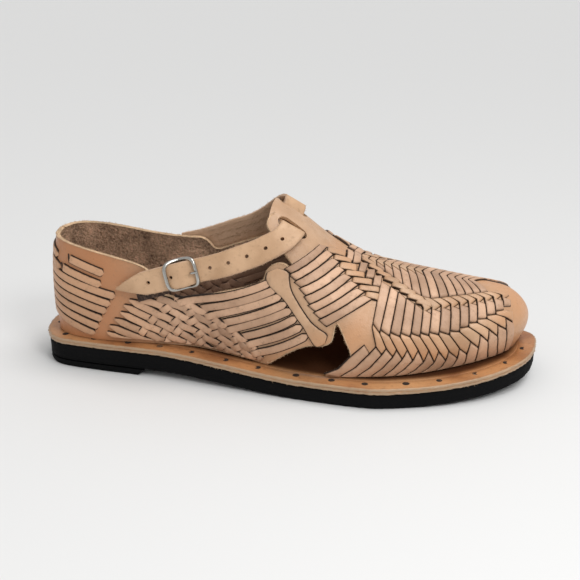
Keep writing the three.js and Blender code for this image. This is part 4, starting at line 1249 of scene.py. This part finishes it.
rings, strap_middle, strap_across, strap_out = strap_rings()
strap_batch = Batch()
strap_batch.rings(rings, 0.4, STRAP_SECTION[:, 2][None, :], strap_run[:, None])
ankle_strap = strap_batch.build("ankle_strap_piece", STRAP_LEATHER, sharp=50)


def punch(place, radius=1.15, depth=6.0):
    """Cylinder that punches a hole through the lateral part of the strap at a place along the foot."""
    lateral = np.where((strap_path[:, 1] < 1.2) & (strap_run > enter), np.abs(strap_path[:, 0] - place), 1e6)
    i = int(np.argmin(lateral))
    middle, out = Vector(strap_middle[i]), Vector(strap_out[i])
    along = Vector(strap_across[i]).cross(out)
    side = out.cross(along)
    angle = [2 * math.pi * k / 16 for k in range(16)]
    obj = solid_between("punch", *([middle + along * (radius * math.cos(a)) + side * (radius * 0.92 * math.sin(a))
                                    + out * level for a in angle] for level in (-depth, depth)))
    obj.data.materials.append(SHADE_BLACK)
    return obj


HOLES = [78.1, 90.2, 110.5, 120.8, 131.3, 141.1, 150.2]
cut(ankle_strap, [punch(place) for place in HOLES])
ankle_strap.data.set_sharp_from_angle(angle=math.radians(50))


def fray(name, sources, seed):
    """Loose fibres: tiny spikes that stand on the raw faces (by material and edge value) of the given pieces."""
    source = random.Random(seed)
    points, faces = [], []
    for obj, count, slot, least, length, stand in sources:
        mesh = obj.data
        raw = [f for f in mesh.polygons if f.material_index == slot]
        if least > 0:
            edge = np.zeros(len(mesh.vertices), np.float32)
            mesh.attributes["edge"].data.foreach_get("value", edge)
            raw = [f for f in raw if min(edge[v] for v in f.vertices) >= least]
        for face in source.choices(raw, [f.area for f in raw], k=count):
            corners = [mesh.vertices[v].co for v in face.vertices]
            share = [source.random() + 0.01 for _ in corners]
            foot = sum((c * w for c, w in zip(corners, share)), Vector()) / sum(share) - face.normal * 0.0001
            shake = Vector([source.uniform(-1, 1) for _ in range(3)])
            way = (face.normal * stand + shake * 0.75).normalized()
            side = way.orthogonal().normalized()
            other = way.cross(side)
            base = len(points)
            for k in range(3):
                a = 2 * math.pi * k / 3
                points.append(foot + (side * math.cos(a) + other * math.sin(a)) * 0.00013)
            points.append(foot + way * source.uniform(0.4, 1.6) * length / 1000)
            faces += [(base, base + 1, base + 3), (base + 1, base + 2, base + 3), (base + 2, base, base + 3),
                      (base + 2, base + 1, base)]
    mesh = bpy.data.meshes.new(name)
    mesh.from_pydata([tuple(p) for p in points], [], faces)
    return finished(name, mesh, RAW_EDGE, 180)


sole_fibres = fray("sole_fibres", [(leather_sole, 7500, 0, 0.75, 0.9, 0.75)], 5)
upper_fibres = fray("upper_fibres", [(upper_edges, 3800, 0, 0, 1.0, 0.75), (ankle_strap, 7000, 0, 0.8, 1.0, 0.4),
                                     (upper_wall, 20000, 1, 0, 1.1, 0.4)], 6)
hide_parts("ankle_strap")


# ---------------------------------------------------------------- buckle
def buckle_axes():
    origin, _, _, out = skin_frame(np.array(96.0), np.array(math.radians(25.3)))
    ahead = skin(104.5, math.radians(28.0))
    origin, out = Vector(origin), Vector(out)
    along = Vector(ahead) - origin
    along = (along - out * along.dot(out)).normalized()
    return origin, along, out.cross(along), out


B_ORIGIN, B_ALONG, B_ACROSS, B_OUT = buckle_axes()


BAR_LIFT = 2.2    # height of the bar's centre over the strap


def in_buckle(x, y, z):
    return np.array(B_ORIGIN + B_ALONG * x + B_ACROSS * y + B_OUT * z)


def tube(batch, points, radius, sides=14, joined=False):
    points = np.asarray(points, float)
    along = unit(np.roll(points, -1, 0) - np.roll(points, 1, 0) if joined else np.gradient(points, axis=0))
    first = np.cross(along, np.array(B_OUT))
    weak = np.linalg.norm(first, axis=1) < 0.2
    first[weak] = np.cross(along[weak], np.array(B_ACROSS))
    first = unit(first)
    second = np.cross(first, along)
    angle = np.linspace(0, 2 * np.pi, sides + 1)[:-1]
    radius = np.broadcast_to(radius, (len(points),))
    rings = (points[:, None] + first[:, None] * (np.cos(angle)[None, :, None] * radius[:, None, None])
             + second[:, None] * (np.sin(angle)[None, :, None] * radius[:, None, None]))
    batch.rings(rings, joined=joined)


metal = Batch()
half_length, half_height = (20.0 - 2.3) / 2, (18.6 - 2.3) / 2
loop = []
for i in range(96):
    a = 2 * math.pi * i / 96
    c, s = math.cos(a), math.sin(a)
    x = half_length * math.copysign(abs(c) ** 0.42, c)
    y = half_height * math.copysign(abs(s) ** 0.42, s)
    side_lift = 7.0 if x > 0 else 8.5
    z = BAR_LIFT + (side_lift - BAR_LIFT) * abs(x / half_length) ** 1.2
    loop.append(in_buckle(x, y, z))
tube(metal, evened(np.array(loop), 3, count=110), 1.12, joined=True)
tube(metal, [in_buckle(0, t * half_height, BAR_LIFT) for t in np.linspace(-1, 1, 12)], 1.05)
buckle_frame = metal.build("buckle_frame_piece", NICKEL)
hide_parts("buckle_frame")
prong = Batch()
line = spline([(1.6, 2.2), (4.4, 4.8), (6.2, 8.5), (8.3, 9.3), (9.9, 9.0)], 6)
tube(prong, [in_buckle(a, 0, b) for a, b in line], np.linspace(0.78, 0.62, len(line)))
buckle_prong = prong.build("buckle_prong_piece", NICKEL)
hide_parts("buckle_prong")

# Anchor strap: from the counter to the buckle's bar, round it and back.
anchor_rows = [(70, math.radians(15.8), 1.5), (76, math.radians(17.5), 1.9), (82.5, math.radians(19.4), 2.2),
               (88.5, math.radians(21.7), 3), (94, math.radians(24.4), 4.4)]
path, run = resample(anchor_rows, 1.2)
place, _, _, normal = skin_frame(path[:, 0], path[:, 1])
middle = list(place + normal * path[:, 2][:, None])
radius = 2.2 / 2 + 0.3 + 0.8
for i in range(13):
    a = math.pi / 2 - math.pi * i / 12
    middle.append(in_buckle(radius * math.cos(a), 0, BAR_LIFT + radius * math.sin(a)))
for back in (1.5, 3.0, 4.0):
    middle.append(in_buckle(-back, 0, BAR_LIFT - radius))
middle = np.array(middle)
across = np.broadcast_to(np.array(B_ACROSS), middle.shape)
out = unit(np.cross(np.gradient(middle, axis=0), across))
section = STRAP_SECTION.copy()
section[:, 1] *= 0.8
u = section[:, 0][None, :] * 13.0 / 2
anchor = Batch()
anchor.rings(middle[:, None] + across[:, None] * u[..., None] - out[:, None] * section[:, 1][None, :, None], -0.6,
             section[:, 2][None, :])
buckle_anchor = anchor.build("buckle_anchor_piece", INNER_STRIP, sharp=50)
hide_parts("buckle_anchor")

# ---------------------------------------------------------------- floor and light
floor_mesh = bpy.data.meshes.new("floor")
floor_mesh.from_pydata([(-6, -6, 0), (6, -6, 0), (6, 6, 0), (-6, 6, 0)], [], [(0, 1, 2, 3)])
floor = link("floor", floor_mesh)
floor_material, tree, shader = nodes_of("floor_paint")
shader.inputs["Base Color"].default_value = (0.73, 0.73, 0.725, 1)
shader.inputs["Roughness"].default_value = 0.7
floor_mesh.materials.append(floor_material)

world = bpy.data.worlds.new("studio")
bpy.context.scene.world = world
world.use_nodes = True
sky = world.node_tree.nodes["Background"]
sky.inputs[0].default_value = (1.0, 1.0, 1.0, 1)
sky.inputs[1].default_value = 0.6


def light(name, kind, direction, power):
    data = bpy.data.lights.new(name, kind)
    data.energy = power
    obj = link(name, data)
    obj.rotation_mode = "QUATERNION"
    obj.rotation_quaternion = direction.to_track_quat("Z", "Y")
    return obj


light("softbox", "SUN", Vector((0.30, 0.10, 1.0)), 1.25).data.angle = math.radians(35)
LAMP_PLACE, LAMP_TARGET = (0.42, -0.45, 0.6), (0.07, -0.01, 0.04)
lamp = light("strip_light", "AREA", Vector(LAMP_PLACE) - Vector(LAMP_TARGET), 2.2)
lamp.location = LAMP_PLACE
lamp.data.shape = "DISK"
lamp.data.size = 0.3
bpy.context.scene.view_settings.view_transform = "Standard"
